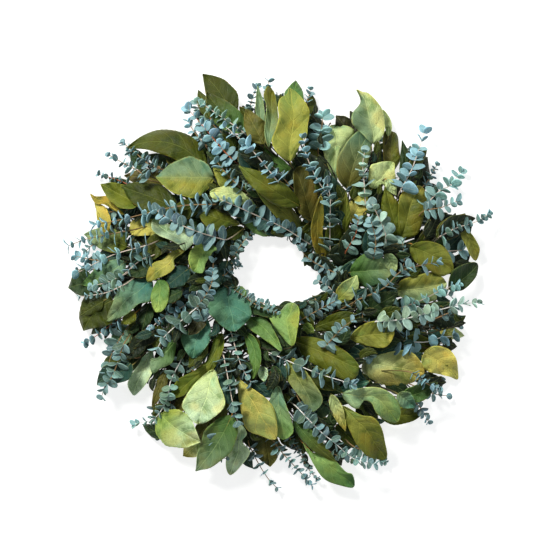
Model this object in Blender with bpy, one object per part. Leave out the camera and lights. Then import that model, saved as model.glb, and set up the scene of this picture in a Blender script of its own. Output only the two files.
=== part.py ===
"""Eucalyptus wreath lying on its back: salal and eucalyptus sprays clamped round a wire ring.

The origin is the middle of the ring on the plane that the wreath rests on, +Z points out of the
wreath's face and +Y is the top of the wreath. Each of the 24 bunches is one salal spray and one
eucalyptus spray. A spray lies in its own spiral shelf, called a fan here. The shelf climbs from
the clamp that holds the stems, turning anticlockwise, and passes over the roots of the bunches
that follow. All fans have one form, turned about +Z, so no spray can cross another.
"""

import math
from itertools import pairwise

import bmesh
import bpy
from mathutils import Vector

# Sizes are in millimetres, and become metres where a mesh is made
MM = 0.001
TURN = 2 * math.pi

# Bunches and the shelves their sprays lie in
BUNCHES = 24
BUNCH_STEP = TURN / BUNCHES
FAN_STEP = BUNCH_STEP / 2
PLACES = 4 * BUNCHES
RING_RADIUS = 128.0
RIM_SPAN = 142.0
RISE = 17.0
RISE_PER_RADIUS = 0.145
BASE_HEIGHT = 7.1
RIM_DROOP = 34.0
ROOT_EASE = 0.3
SHELF_GAP = 0.9
LOWEST_FOLIAGE = 3.0
LOWEST_SWEEP = 0.8
CLAMP_SWEEP = 1.45
CLAMP_REACH = 22.0

# Clamp ring
RING_WIRE = 3.6
RING_SINK = 0.2
RING_SEGMENTS = 24
CLAMP_WIRE = 2.0
CLAMP_HALF_WIDTH = 5.0
CLAMP_SHOULDER = 19.6
CLAMP_TIP_REACH = 1.6
CLAMP_TIP_SPLIT = 1.4

# Stems and blades
CORE_THICKNESS = 4.5
CORE_BACK = 5.5
CORE_FRONT = 6.5
SALAL_CORE_HEIGHT = 15.6
EUCALYPTUS_CORE_HEIGHT = 8.4
STEM_ROOT_RADIUS = 1.5
STEM_SPREAD = 1.2
STEM_STEPS = 3
STEM_START = 4.0
STEM_OVERLAP = 3.0
STEM_TIP_RADIUS = 0.9
ROUTE_LEAD = 0.4
LONGEST_LEAD = 40.0
ROUTE_ARRIVAL = 0.25
LONGEST_ARRIVAL = 15.0
LEADER_SHARE = 0.8
LAST_SHARE = 0.7
FOLD = 0.2
BLADE_LEVEL = 0.5
BLADE_STEP = 0.06
BLADE_LEVELS = 4
LONG_LEAF = 70.0
LONG_STATIONS = (0.2, 0.47, 0.78)
SHORT_STATIONS = (0.3, 0.7)
BLADE_THICKNESS = 0.9
RIB_HALF_WIDTH = 1.0
PAIR_SPACING = 31.0
LEAFLET_START = 0.75
LEAFLET_END = 0.9
LEAFLET_HALF_WIDTH = 0.3
LEAFLET_FORWARD = 0.3
LEAFLET_LEAN = 0.35
STEM_LEVEL_STEP = 0.12

# How closely the pile is compared, and growth for the sprays that nothing in the lists falls to
CELL = 4.0
COVERED = 0.08
HIDDEN_FROM = 165.0
HIDDEN_TO = 228.0
HIDDEN_SALAL = (1.9, 2.6, 26)
HIDDEN_EUCALYPTUS = (1.7, 2.4, 14, 0.8)

# Broad leaves: base x, y, tip x, y, width, bow to the left, layer counted from the back
SALAL_LEAVES = (
    # Upper left
    (-98, 148, -202, 174, 37, -20, 2), (-87, 135, -162, 135, 56, 0, 4),
    (-135, 96, -209, 124, 40, 0, 3), (-185, 99, -236, 127, 29, 0, 2),
    (-205, 87, -251, 115, 20, 3, 2), (-226, 63, -244, 104, 20, 4, 2),
    (-148, 132, -206, 139, 27, 0, 1), (-32, 96, -91, 115, 23, -8, 4),
    (-46, 106, -88, 150, 24, 0, 3),
    # Top
    (-62, 216, -102, 272, 37, -4, 2), (-92, 214, -108, 252, 16, 0, 1),
    (-45, 195, -96, 247, 32, 5, 3), (-40, 205, -49, 231, 19, 0, 1),
    (-16, 180, -53, 227, 26, 0, 2), (-21, 177, -45, 222, 28, 0, 3),
    (-24, 198, -29, 255, 11, 0, 3), (-15, 177, -9, 255, 18, 0, 3),
    (13, 153, 13, 252, 49, -4, 4), (16, 222, 21, 264, 26, 0, 1),
    (17, 141, -21, 177, 15, 4, 4), (26, 98, -53, 148, 29, 3, 4),
    (30, 69, -33, 121, 21, 0, 3), (42, 79, 15, 145, 33, 0, 3),
    # Upper right
    (120, 176, 100, 249, 42, -8, 4), (92, 119, 132, 211, 45, 5, 3),
    (67, 206, 75, 131, 40, 0, 2), (143, 191, 136, 226, 9, -3, 2),
    (147, 143, 150, 197, 21, 0, 2), (162, 119, 161, 185, 16, -4, 2),
    (121, 121, 149, 154, 33, 0, 4), (139, 132, 152, 112, 13, 0, 4),
    (157, 53, 137, 123, 27, 0, 3), (158, 53, 186, 124, 38, 6, 4),
    (92, 77, 114, 115, 26, 0, 3), (86, 62, 86, 115, 11, 0, 4),
    (172, 48, 227, 11, 38, 5, 4), (238, 77, 259, 25, 20, 5, 3),
    (222, -11, 261, 24, 34, -6, 2),
    # Right
    (92, 11, 152, 16, 42, 0, 3), (137, 34, 148, 8, 16, 3, 4),
    (75, -26, 100, 7, 24, -3, 3), (152, -15, 219, -4, 36, 0, 3),
    (92, -74, 150, -69, 34, 2, 3), (50, -61, 102, -46, 22, 5, 3),
    (18, -81, 106, -116, 45, 5, 4), (112, -108, 190, -121, 43, 0, 4),
    (189, -100, 235, -132, 34, 4, 2), (211, -66, 244, -73, 16, 0, 1),
    (158, -152, 206, -133, 24, -4, 2), (154, -148, 177, -166, 21, 0, 3),
    (150, -164, 185, -174, 19, 0, 1), (82, -147, 154, -183, 38, 12, 4),
    (116, -132, 67, -148, 12, 0, 3),
    # Bottom
    (81, -162, 140, -238, 44, 5, 3), (67, -149, 86, -197, 15, 0, 4),
    (12, -106, 42, -170, 32, 2, 4), (-3, -139, 5, -206, 33, 0, 3),
    (-57, -121, -5, -206, 44, 4, 4), (-48, -70, -36, -127, 22, 10, 4),
    (18, -182, 75, -239, 18, -3, 3), (30, -213, 98, -272, 30, 4, 2),
    (62, -160, 45, -182, 22, 0, 2), (86, -186, 104, -215, 11, 0, 3),
    (-20, -201, -13, -246, 36, 0, 1), (7, -201, 11, -220, 18, 0, 1),
    (-63, -176, -111, -251, 42, 4, 4), (-49, -186, -66, -257, 22, 3, 3),
    (-88, -117, -107, -189, 55, 2, 4), (-158, -176, -104, -211, 50, -3, 3),
    (-103, -211, -128, -232, 26, 0, 2), (-69, -158, -104, -198, 22, 0, 2),
    (-152, -206, -182, -190, 16, 0, 1), (-77, -70, -143, -154, 28, 9, 3),
    (-170, -92, -193, -153, 25, 0, 3), (-137, -77, -165, -106, 25, 0, 3),
    (-104, -50, -115, -102, 34, 0, 3), (-194, -111, -243, -137, 24, 3, 1),
    (-148, -116, -169, -168, 13, 0, 2),
    # Left
    (-161, 71, -194, 66, 20, 0, 3), (-116, 42, -165, 79, 29, 3, 4),
    (-123, 41, -172, 0, 27, 0, 4), (-91, 45, -108, 12, 28, 0, 4),
    (-169, 0, -226, -54, 45, 0, 4), (-157, 3, -162, -41, 23, 3, 4),
    (-119, 16, -150, -9, 27, 0, 2), (-244, 0, -279, -9, 36, 0, 1),
    (-203, 24, -261, -5, 29, 3, 2), (-219, -26, -259, -66, 48, -6, 2),
    (-231, -26, -264, -46, 18, 0, 3), (-198, -61, -222, -86, 28, 0, 2),
    (-189, -42, -207, -57, 15, 0, 3), (-172, -30, -181, -66, 18, 0, 2),
    (-104, -37, -119, -71, 22, 4, 3), (-201, 44, -259, 61, 30, -3, 2),
    # Round the hole
    (-70, -7, -58, -66, 55, 0, 4), (-58, -9, -44, -22, 13, 0, 3),
    (16, -84, 17, -31, 38, 3, 4), (-45, -42, 1, -90, 34, 5, 1),
    (-53, 74, -102, 86, 24, 0, 3), (-16, 59, -51, 78, 16, -3, 3),
    (-49, 67, -74, 57, 19, 0, 3), (53, 111, 58, 28, 19, -6, 4),
    (-69, 26, -77, -4, 22, 0, 3), (-24, -112, -20, -132, 13, 0, 3),
    (-37, -132, -11, -153, 16, 0, 2), (30, -58, 45, -69, 14, 0, 3),
    (-53, -30, -7, -49, 16, 3, 1),
)

# Sprigs: points from root to tip, leaf length, leaf width over length, layer from the back
EUCALYPTUS_SPRIGS = (
    # Left and upper left
    (((-86, 99), (-119, 98), (-154, 92), (-205, 79), (-240, 73)), 17, 0.45, 5),
    (((-198, 65), (-231, 59), (-255, 54), (-277, 46)), 14, 0.4, 5),
    (((-173, 46), (-210, 36), (-230, 28), (-263, 11)), 18, 0.35, 5),
    (((-166, 33), (-183, 26), (-205, 7)), 17, 0.35, 5),
    (((-107, -34), (-129, -53), (-150, -73), (-158, -86)), 21, 0.6, 5),
    (((-209, -48), (-238, -70), (-257, -82)), 15, 0.7, 2),
    (((-73, 53), (-106, 63), (-139, 77), (-158, 90)), 18, 0.9, 5),
    (((-230, 26), (-250, 28), (-271, 33)), 13, 0.8, 2),
    (((-205, 7), (-225, -2), (-246, -7)), 14, 0.9, 3),
    (((-205, -7), (-227, -16), (-260, -21)), 10, 0.7, 5),
    (((-125, -33), (-156, -51), (-169, -63)), 11, 0.7, 5),
    (((-99, -53), (-112, -26), (-128, -11)), 14, 0.9, 4),
    (((-161, 148), (-174, 154), (-191, 169), (-209, 183)), 12, 0.6, 1),
    (((-172, 132), (-185, 143), (-211, 157), (-223, 164)), 12, 0.5, 1),
    (((-190, 122), (-215, 133), (-238, 140)), 10, 0.5, 1),
    # Top
    (((-46, 191), (-55, 198), (-71, 209), (-87, 220), (-103, 232)), 13, 0.4, 5),
    (((-3, 128), (-24, 154), (-41, 173), (-70, 198)), 16, 0.5, 5),
    (((-62, 158), (-73, 169), (-88, 187), (-110, 213), (-120, 224)), 14, 0.9, 5),
    (((-49, 119), (-66, 135), (-83, 156)), 17, 0.4, 5),
    (((66, 106), (50, 128), (42, 143), (33, 165), (30, 186)), 15, 0.6, 5),
    (((-45, 200), (-37, 238), (-30, 257)), 11, 0.7, 1),
    (((-20, 200), (-18, 238), (-15, 262)), 11, 0.7, 1),
    (((20, 190), (33, 225), (40, 252)), 13, 0.7, 1),
    (((50, 172), (54, 195), (57, 220)), 18, 0.8, 3),
    # Upper right
    (((66, 38), (65, 69), (65, 106), (61, 125)), 17, 0.6, 5),
    (((112, 99), (110, 125), (108, 152), (111, 172)), 17, 0.6, 5),
    (((139, 40), (138, 62), (130, 80), (120, 100)), 20, 0.95, 5),
    (((158, 119), (172, 145), (182, 172), (189, 194)), 14, 0.5, 5),
    (((191, 99), (211, 119), (224, 125), (238, 143)), 15, 0.6, 3),
    (((178, 112), (195, 132), (207, 152)), 10, 0.4, 1),
    (((211, 59), (231, 69), (257, 77), (275, 88)), 14, 0.6, 3),
    (((185, 24), (211, 37), (240, 40)), 18, 0.8, 3),
    # Right
    (((99, -26), (135, -9), (158, 13), (203, 24)), 17, 0.5, 4),
    (((152, -38), (185, -26), (211, -13), (236, -4)), 13, 0.8, 5),
    (((125, -53), (158, -50), (198, -40), (238, -30), (257, -29)), 15, 0.9, 5),
    (((153, -78), (189, -81), (211, -75), (228, -73)), 24, 0.65, 5),
    (((66, -42), (79, -38), (100, -26)), 19, 0.6, 3),
    (((59, -86), (79, -63), (95, -50)), 13, 0.85, 5),
    (((172, -120), (191, -134), (210, -143)), 10, 0.4, 4),
    (((178, -160), (188, -172), (196, -186)), 11, 0.8, 1),
    # Bottom
    (((-13, -95), (46, -119), (99, -135)), 18, 0.6, 5),
    (((25, -168), (51, -195), (73, -213), (95, -232), (123, -240)), 14, 0.8, 5),
    (((-13, -205), (4, -227), (24, -249), (42, -269)), 12, 0.6, 2),
    (((12, -206), (24, -224), (38, -249), (51, -264)), 8, 0.4, 1),
    (((-40, -218), (-29, -240), (-16, -261), (-5, -273)), 12, 0.5, 1),
    (((-73, -100), (-66, -135), (-61, -160), (-55, -182)), 16, 0.4, 5),
    (((-65, -66), (-51, -110), (-38, -132)), 15, 0.4, 4),
    (((-129, -103), (-143, -131), (-149, -157), (-165, -181), (-191, -189)), 13, 0.8, 5),
    (((-205, -84), (-219, -124), (-230, -139), (-234, -152)), 15, 0.8, 4),
    (((13, -132), (26, -158), (40, -182)), 17, 0.7, 2),
    # Round the hole
    (((42, 46), (12, 65), (-8, 75)), 16, 0.9, 3),
    (((-8, 75), (-46, 92), (-79, 106)), 16, 0.9, 5),
    (((78, 8), (52, 20), (32, 34), (26, 50)), 13, 0.9, 3),
    (((-106, -33), (-90, -7), (-87, 24)), 13, 0.9, 4),
    (((-73, 7), (-63, 15), (-52, 20)), 9, 0.5, 3),
    (((-58, -13), (-29, -33), (-3, -42)), 9, 0.5, 4),
    (((79, -26), (63, -7), (50, 0)), 13, 0.9, 3),
    (((26, -53), (53, -37), (73, -26)), 14, 0.8, 3),
)


def clear_scene():
    """Remove the objects that Blender starts with."""
    for old in list(bpy.data.objects):
        bpy.data.objects.remove(old, do_unlink=True)


def finish(name, colour, roughness, metallic=0.0):
    """A Principled material with one colour."""
    material = bpy.data.materials.new(name)
    material.use_nodes = True
    shader = material.node_tree.nodes["Principled BSDF"]
    shader.inputs["Base Color"].default_value = (*colour, 1.0)
    shader.inputs["Roughness"].default_value = roughness
    shader.inputs["Metallic"].default_value = metallic
    return material


# The fans


def turn_from(start, angle):
    """The turn from start to angle, between a quarter turn back and three quarters on."""
    return (angle - start + TURN / 4) % TURN - TURN / 4


def rise_at(radius):
    """How far a fan climbs in one bunch step, less inside the ring, where a step is short."""
    return min(RISE, RISE_PER_RADIUS * radius)


def eased(sweep):
    """A sweep in bunch steps, levelled off where the stems pass through their clamp."""
    if sweep > ROOT_EASE:
        return sweep
    return (max(sweep, -ROOT_EASE) + ROOT_EASE) ** 2 / (4 * ROOT_EASE)


def sagging(radius):
    """How far the shelf has dropped below its height at the ring."""
    return RIM_DROOP * max(0.0, (radius - RING_RADIUS) / RIM_SPAN) ** 2


def fan_point(x, y, fan, offset=0.0):
    """The point of a fan above x, y, offset by a share of the shelf's half height."""
    radius = math.hypot(x, y)
    sweep = turn_from(fan * FAN_STEP, math.atan2(y, x)) / BUNCH_STEP
    height = BASE_HEIGHT - sagging(radius) + rise_at(radius) * eased(sweep)
    return Vector((x, y, height + offset * (rise_at(radius) / 4 - SHELF_GAP)))


def least_sweep(radius):
    """The smallest sweep at which foliage clears the surface below and the clamps."""
    clear = LOWEST_FOLIAGE + rise_at(radius) / 4 - BASE_HEIGHT + sagging(radius)
    sweep = max(LOWEST_SWEEP, clear / rise_at(radius))
    near_clamp = abs(radius - RING_RADIUS) < CLAMP_REACH
    return max(sweep, CLAMP_SWEEP) if near_clamp else sweep


class Pile:
    """Which shelf each item lies on. Places count down as shelves go up, four to a bunch step."""

    def __init__(self):
        self.laid = []

    def settle(self, item, allowed):
        """Lay an item over the lower layers that it covers and return its place."""
        samples = list(item.samples())
        middle = sum((Vector(p) for p in samples), Vector((0, 0))) / len(samples)
        around = math.atan2(middle.y, middle.x)
        cells = {(round(x / CELL), round(y / CELL)) for x, y in samples}
        place = min(highest_place(x, y, around) for x, y in samples)
        taken = set()
        for other, layer, other_around, other_cells in self.laid:
            if len(cells & other_cells) < COVERED * min(len(cells), len(other_cells)):
                continue
            turned = other + PLACES * round((around - other_around) / TURN)
            if layer < item.layer:
                place = min(place, turned - 1)
            else:
                taken.add(turned)
        while place % 4 not in allowed or place in taken:
            place -= 1
        self.laid.append((place, item.layer, around, cells))
        return place


def highest_place(x, y, around):
    """The first place whose shelf clears the ground and the clamps at a point."""
    angle = around + (math.atan2(y, x) - around + TURN / 2) % TURN - TURN / 2
    return math.floor(4 * (angle / BUNCH_STEP - least_sweep(math.hypot(x, y))))


# Outlines seen from the front


class Leaf:
    """A broad leaf: its midrib and half width seen from the front."""

    def __init__(self, row):
        base_x, base_y, tip_x, tip_y, self.width, self.bow, self.layer = row
        self.base, self.tip = Vector((base_x, base_y)), Vector((tip_x, tip_y))
        self.length = (self.tip - self.base).length
        self.along = (self.tip - self.base) / self.length
        self.left = Vector((-self.along.y, self.along.x))

    def rib(self, t):
        """The midrib's point at t, from 0 at the base to 1 at the tip."""
        return self.base.lerp(self.tip, t) + self.left * self.bow * 4 * t * (1 - t)

    def half_width(self, t):
        """Half the blade's width at t, widest a little before the middle."""
        return 0.5 * self.width * math.sin(math.pi * t**0.75) ** 0.8

    def samples(self):
        """Points spread over the blade."""
        rows = max(3, round(self.length / CELL))
        sides = max(1, round(self.width / 2 / CELL))
        for row in range(rows + 1):
            t = row / rows
            reach = self.left * self.half_width(t) / sides
            for side in range(-sides, sides + 1):
                yield tuple(self.rib(t) + reach * side)


class Sprig:
    """A leafy stem: its route and the places of its leaf pairs seen from the front."""

    def __init__(self, row):
        points, self.leaf, self.roundness, self.layer = row
        self.points = [Vector(p) for p in points]
        self.length = sum((b - a).length for a, b in pairwise(self.points))

    def at(self, distance):
        """The point and the direction at a distance along the smoothed route."""
        ends = [2 * self.points[0] - self.points[1], *self.points]
        ends.append(2 * self.points[-1] - self.points[-2])
        for i in range(1, len(ends) - 2):
            before, start, end, after = ends[i - 1 : i + 3]
            span = (end - start).length
            if distance <= span or i == len(ends) - 3:
                break
            distance -= span
        t = min(1.0, max(0.0, distance / span))
        leave, arrive = (end - before) / 2, (after - start) / 2
        spot = (2 * t**3 - 3 * t**2 + 1) * start + (t**3 - 2 * t**2 + t) * leave
        spot += (3 * t**2 - 2 * t**3) * end + (t**3 - t**2) * arrive
        way = (6 * t**2 - 6 * t) * (start - end) + (3 * t**2 - 4 * t + 1) * leave
        way += (3 * t**2 - 2 * t) * arrive
        return spot, way.normalized()

    def pairs(self):
        """Each leaf pair's distance along the route, its leaf length and the notch before it."""
        count = max(2, round(self.length / PAIR_SPACING))
        spacing = (self.length - 0.5 * self.leaf) / count
        for i in range(count):
            size = self.leaf * (1.1 - 0.5 * (i + 0.5) / count)
            yield spacing * (i + 0.6), size, spacing * (i + 0.1)

    def samples(self):
        """Points spread over the leaves."""
        steps = max(3, round(self.length / CELL))
        for step in range(steps + 1):
            spot, way = self.at(self.length * step / steps)
            left = Vector((-way.y, way.x))
            for side in (-0.8, -0.4, 0.0, 0.4, 0.8):
                yield tuple(spot + left * side * self.leaf)


# Closed meshes


def closed_strip(rows, thickness):
    """A thin closed blade over rows of one to three points, split alike on both faces."""
    mesh = bmesh.new()
    half = Vector((0, 0, thickness / 2))
    top = [[mesh.verts.new((p + half) * MM) for p in row] for row in rows]
    low = [[mesh.verts.new((p - half) * MM) for p in row] for row in rows]
    for near, far in pairwise(range(len(rows))):
        for a, b, c in strip_triangles(len(rows[near]), len(rows[far])):
            for face, turned in ((top, False), (low, True)):
                both = face[near] + face[far]
                corners = [both[a], both[b], both[c]]
                mesh.faces.new(corners[::-1] if turned else corners)
    last = len(rows) - 1
    edge = [(i, len(row) - 1) for i, row in enumerate(rows)]
    edge += [(last, j) for j in range(len(rows[last]) - 2, -1, -1)]
    edge += [(i, 0) for i in range(last - 1, -1, -1)]
    edge += [(0, j) for j in range(1, len(rows[0]))]
    for (i, j), (k, m) in pairwise(edge if edge[0] == edge[-1] else [*edge, edge[0]]):
        mesh.faces.new((top[i][j], low[i][j], low[k][m], top[k][m]))
    return mesh


def strip_triangles(near, far):
    """Triangles between two rows of points, numbered through both rows."""
    if near == 1:
        return [(0, i + 1, i) for i in range(1, far)]
    if far == 1:
        return [(i, i + 1, near) for i in range(near - 1)]
    if (near, far) == (2, 3):
        return [(0, 3, 2), (0, 1, 3), (1, 4, 3)]
    quads = [(i, i + 1, near + i + 1, near + i) for i in range(near - 1)]
    return [t for a, b, c, d in quads for t in ((a, b, c), (a, c, d))]


def closed_tube(points, radii, sides, closed=False):
    """A tube through points, with flat ends unless it closes on itself."""
    mesh = bmesh.new()
    rings = []
    count = len(points)
    for i, (point, radius) in enumerate(zip(points, radii, strict=True)):
        ahead = points[(i + 1) % count] if closed or i + 1 < count else point
        behind = points[i - 1] if closed or i else point
        way = (ahead - behind).normalized()
        across = way.cross(Vector((0, 0, 1)))
        across = across.normalized() if across.length > 0.1 else Vector((1, 0, 0))
        up = across.cross(way)
        turns = [TURN * (side + 0.5) / sides for side in range(sides)]
        spokes = [across * math.cos(turn) + up * math.sin(turn) for turn in turns]
        rings.append([mesh.verts.new((point + radius * spoke) * MM) for spoke in spokes])
    for near, far in pairwise([*rings, rings[0]] if closed else rings):
        for side in range(sides):
            other = (side + 1) % sides
            mesh.faces.new((near[side], near[other], far[other], far[side]))
    if not closed:
        mesh.faces.new(rings[0][::-1])
        mesh.faces.new(rings[-1])
    return mesh


def as_object(mesh, name, collection):
    """Turn a bmesh into an object with its faces pointing out."""
    bmesh.ops.triangulate(mesh, faces=[f for f in mesh.faces if len(f.verts) > 3])
    bmesh.ops.recalc_face_normals(mesh, faces=mesh.faces)
    data = bpy.data.meshes.new(name)
    mesh.to_mesh(data)
    mesh.free()
    made = bpy.data.objects.new(name, data)
    collection.objects.link(made)
    return made


def fuse(name, meshes, material):
    """Join closed meshes into one body with a Boolean union on a collection."""
    scene = bpy.context.scene.collection
    made = as_object(meshes[0], name, scene)
    made.data.materials.append(material)
    rest = bpy.data.collections.new(f"{name}_repeats")
    scene.children.link(rest)
    for i, mesh in enumerate(meshes[1:]):
        as_object(mesh, f"{name}_repeat_{i}", rest)
    union = made.modifiers.new("Union", "BOOLEAN")
    union.operation = "UNION"
    union.operand_type = "COLLECTION"
    union.collection = rest
    union.solver = "MANIFOLD"
    bpy.context.view_layer.objects.active = made
    bpy.ops.object.modifier_apply(modifier=union.name)
    for old in list(rest.objects):
        bpy.data.objects.remove(old, do_unlink=True)
    bpy.data.collections.remove(rest)
    drop_scraps(made.data)
    return made


def drop_scraps(data):
    """Keep only the largest body of a mesh, where a union left a loose crumb beside it."""
    mesh = bmesh.new()
    mesh.from_mesh(data)
    bodies, seen = [], set()
    for start in mesh.verts:
        if start in seen:
            continue
        body, front = {start}, [start]
        while front:
            for edge in front.pop().link_edges:
                fresh = [v for v in edge.verts if v not in body]
                body.update(fresh)
                front.extend(fresh)
        seen |= body
        bodies.append(body)
    largest = max(bodies, key=len)
    bmesh.ops.delete(mesh, geom=[v for v in mesh.verts if v not in largest])
    mesh.to_mesh(data)
    mesh.free()


# The clamp ring


def ring_point(angle, radius, height, forward=0.0):
    """A point of the ring's plane section at an angle, moved forward along the ring."""
    out = Vector((math.cos(angle), math.sin(angle), 0))
    along = Vector((-out.y, out.x, 0))
    return out * radius + along * forward + Vector((0, 0, height))


def clamp_ring(material):
    """The wire ring with one clamp for each bunch, its prongs folded over the stems."""
    level = CLAMP_WIRE + RING_WIRE / 2 - RING_SINK
    turns = [TURN * (i + 0.5) / RING_SEGMENTS for i in range(RING_SEGMENTS)]
    circle = [ring_point(turn, RING_RADIUS, level) for turn in turns]
    meshes = [closed_tube(circle, [RING_WIRE / math.sqrt(2)] * RING_SEGMENTS, 4, closed=True)]
    foot = CLAMP_WIRE / 2
    for bunch in range(BUNCHES):
        angle = clamp_angle(bunch)
        route = []
        for side in (-1, 1):
            forward = -side * CLAMP_TIP_SPLIT
            past_middle = RING_RADIUS - side * CLAMP_TIP_REACH
            wall = RING_RADIUS + side * CLAMP_HALF_WIDTH
            tip = ring_point(angle, past_middle, CLAMP_SHOULDER, forward)
            shoulder = ring_point(angle, wall, CLAMP_SHOULDER, forward)
            corner = ring_point(angle, wall, foot)
            route += [tip, shoulder, corner] if side < 0 else [corner, shoulder, tip]
        meshes.append(square_wire(route, CLAMP_WIRE, angle))
    return fuse("clamp_ring", meshes, material)


def square_wire(route, size, angle):
    """A bent wire of square section whose bends lie in the plane across the ring."""
    mesh = bmesh.new()
    along = Vector((-math.sin(angle), math.cos(angle), 0)) * size / 2
    rings = []
    for i, point in enumerate(route):
        arrive = (point - route[i - 1]).normalized() if i else None
        leave = (route[i + 1] - point).normalized() if i + 1 < len(route) else None
        first, second = arrive or leave, leave or arrive
        way = (first + second).normalized()
        across = along.cross(way).normalized() * size / 2
        across /= max(0.5, way.dot(first))
        corners = (along + across, along - across, -along - across, -along + across)
        rings.append([mesh.verts.new((point + c) * MM) for c in corners])
    for near, far in pairwise(rings):
        for side in range(4):
            other = (side + 1) % 4
            mesh.faces.new((near[side], near[other], far[other], far[side]))
    mesh.faces.new(rings[0][::-1])
    mesh.faces.new(rings[-1])
    return mesh


# Sprays


def clamp_angle(bunch):
    """Where a bunch's clamp stands: at the start of its eucalyptus fan."""
    return (2 * bunch + 1) * FAN_STEP


def core(bunch, height):
    """The gathered stem ends of a spray, level through the clamp."""
    angle = clamp_angle(bunch)
    ends = [ring_point(angle, RING_RADIUS, height, end) for end in (-CORE_BACK, CORE_FRONT)]
    return closed_tube(ends, [CORE_THICKNESS / math.sqrt(2)] * 2, 4)


def stem_route(bunch, target, way, outward):
    """Points seen from the front from a bunch's clamp to just short of a target."""
    start = ring_point(clamp_angle(bunch), RING_RADIUS + outward, 0, STEM_START).to_2d()
    ahead = Vector((-start.y, start.x)).normalized()
    span = (target - start).length
    first = start + ahead * min(ROUTE_LEAD * span, LONGEST_LEAD)
    second = target - way * min(ROUTE_ARRIVAL * span, LONGEST_ARRIVAL)
    for i in range(STEM_STEPS):
        t = i / STEM_STEPS
        near, far = start.lerp(first, t), second.lerp(target, t)
        middle = first.lerp(second, t)
        yield near.lerp(middle, t).lerp(middle.lerp(far, t), t)


def stalk_row(spot, way, fan, offset):
    """Both edges of a stalk at a point, square to the way it runs."""
    across = Vector((-way.y, way.x)).normalized() * RIB_HALF_WIDTH
    return [fan_point(*(spot + side * across), fan, offset) for side in (1, -1)]


def salal_blade(leaf, fan, offset, start):
    """A broad leaf on its petiole, in two meshes where the leaf turns back on its petiole."""
    stations = LONG_STATIONS if leaf.length > LONG_LEAF else SHORT_STATIONS
    way = leaf.base - start
    rows = [[fan_point(*start, fan)]]
    if way.dot(leaf.along) < 0:
        end = leaf.base + leaf.along * STEM_OVERLAP
        yield closed_strip([*rows, stalk_row(end, way, fan, offset)], BLADE_THICKNESS)
        rows = []
    rows.append(stalk_row(leaf.base, leaf.along, fan, offset))
    for t in stations:
        reach = leaf.left * leaf.half_width(t)
        spots = (leaf.rib(t) + reach, leaf.rib(t), leaf.rib(t) - reach)
        folds = (FOLD, -FOLD, FOLD)
        rows.append([fan_point(*p, fan, offset + f) for p, f in zip(spots, folds, strict=True)])
    rows.append([fan_point(*leaf.rib(1.0), fan, offset)])
    yield closed_strip(rows, BLADE_THICKNESS)


def salal_spray(bunch, leaves, material):
    """The salal of one bunch: a main stem in and out of the ring, with leaves on petioles."""
    fan = 2 * bunch
    meshes = [core(bunch, SALAL_CORE_HEIGHT)]
    inside = [item for item in leaves if item[0].base.length < RING_RADIUS - 15]
    outside = [item for item in leaves if item not in inside]
    for group, outward in ((inside, -STEM_SPREAD), (outside, STEM_SPREAD)):
        if not group:
            continue
        sweeps = [turn_from(fan * FAN_STEP, math.atan2(*leaf.base.yx)) for leaf, _ in group]
        leader = group[sweeps.index(max(sweeps))][0]
        end = leader.base + leader.along * STEM_OVERLAP
        route = [*stem_route(bunch, leader.base, leader.along, outward), end]
        thin = (STEM_TIP_RADIUS - STEM_ROOT_RADIUS) / (len(route) - 1)
        radii = [STEM_ROOT_RADIUS + thin * i for i in range(len(route))]
        meshes.append(closed_tube([fan_point(*p, fan) for p in route], radii, 3))
        for i, (leaf, offset) in enumerate(group):
            reaches = [(joint - leaf.base).length for joint in route[1:STEM_STEPS]]
            joint, share = reaches.index(min(reaches)) + 1, LAST_SHARE * i / len(group)
            if leaf is leader:
                joint, share = STEM_STEPS - 1, LEADER_SHARE
            lift = offset + BLADE_STEP * (i % BLADE_LEVELS)
            start = route[joint].lerp(route[joint + 1], share)
            meshes += salal_blade(leaf, fan, lift, start)
    return fuse(f"salal_spray_{bunch + 1:02d}", meshes, material)


def leafy_stem(bunch, sprig, shift, outward):
    """A sprig as one thin blade whose outline is cut to the rib between its leaf pairs."""
    fan = 2 * bunch + 1
    base, way = sprig.at(0.0)
    rows = []
    route = [*stem_route(bunch, base, way, outward), base]
    for spot, ahead in pairwise(route):
        rows.append(stalk_row(spot, ahead - spot, fan, shift))
    for i, (distance, size, notch) in enumerate(sprig.pairs()):
        half = LEAFLET_HALF_WIDTH * size * sprig.roundness
        middle = LEAFLET_FORWARD * size
        lean = LEAFLET_LEAN * (-1) ** i
        outline = (
            (notch, RIB_HALF_WIDTH, 0.0, 0.0),
            (distance, LEAFLET_START * size, middle - half, lean),
            (distance, LEAFLET_END * size, middle + half, lean),
        )
        for along, reach, forward, tilt in outline:
            spot, way = sprig.at(along)
            left = Vector((-way.y, way.x))
            spot += way * forward
            edges = ((spot + left * reach, shift + tilt), (spot - left * reach, shift - tilt))
            rows.append([fan_point(*edge, fan, level) for edge, level in edges])
    spot, way = sprig.at(sprig.length)
    rows.append([fan_point(*(spot + way), fan, shift)])
    return closed_strip(rows, BLADE_THICKNESS)


def eucalyptus_spray(bunch, sprigs, material):
    """The eucalyptus of one bunch: leafy stems that start in the clamp."""
    meshes = [core(bunch, EUCALYPTUS_CORE_HEIGHT)]
    for i, sprig in enumerate(sprigs):
        outward = STEM_SPREAD * (2 * i - len(sprigs) + 1) / max(1, len(sprigs) - 1)
        meshes.append(leafy_stem(bunch, sprig, STEM_LEVEL_STEP * (i % 3 - 1), outward))
    return fuse(f"eucalyptus_spray_{bunch + 1:02d}", meshes, material)


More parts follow.
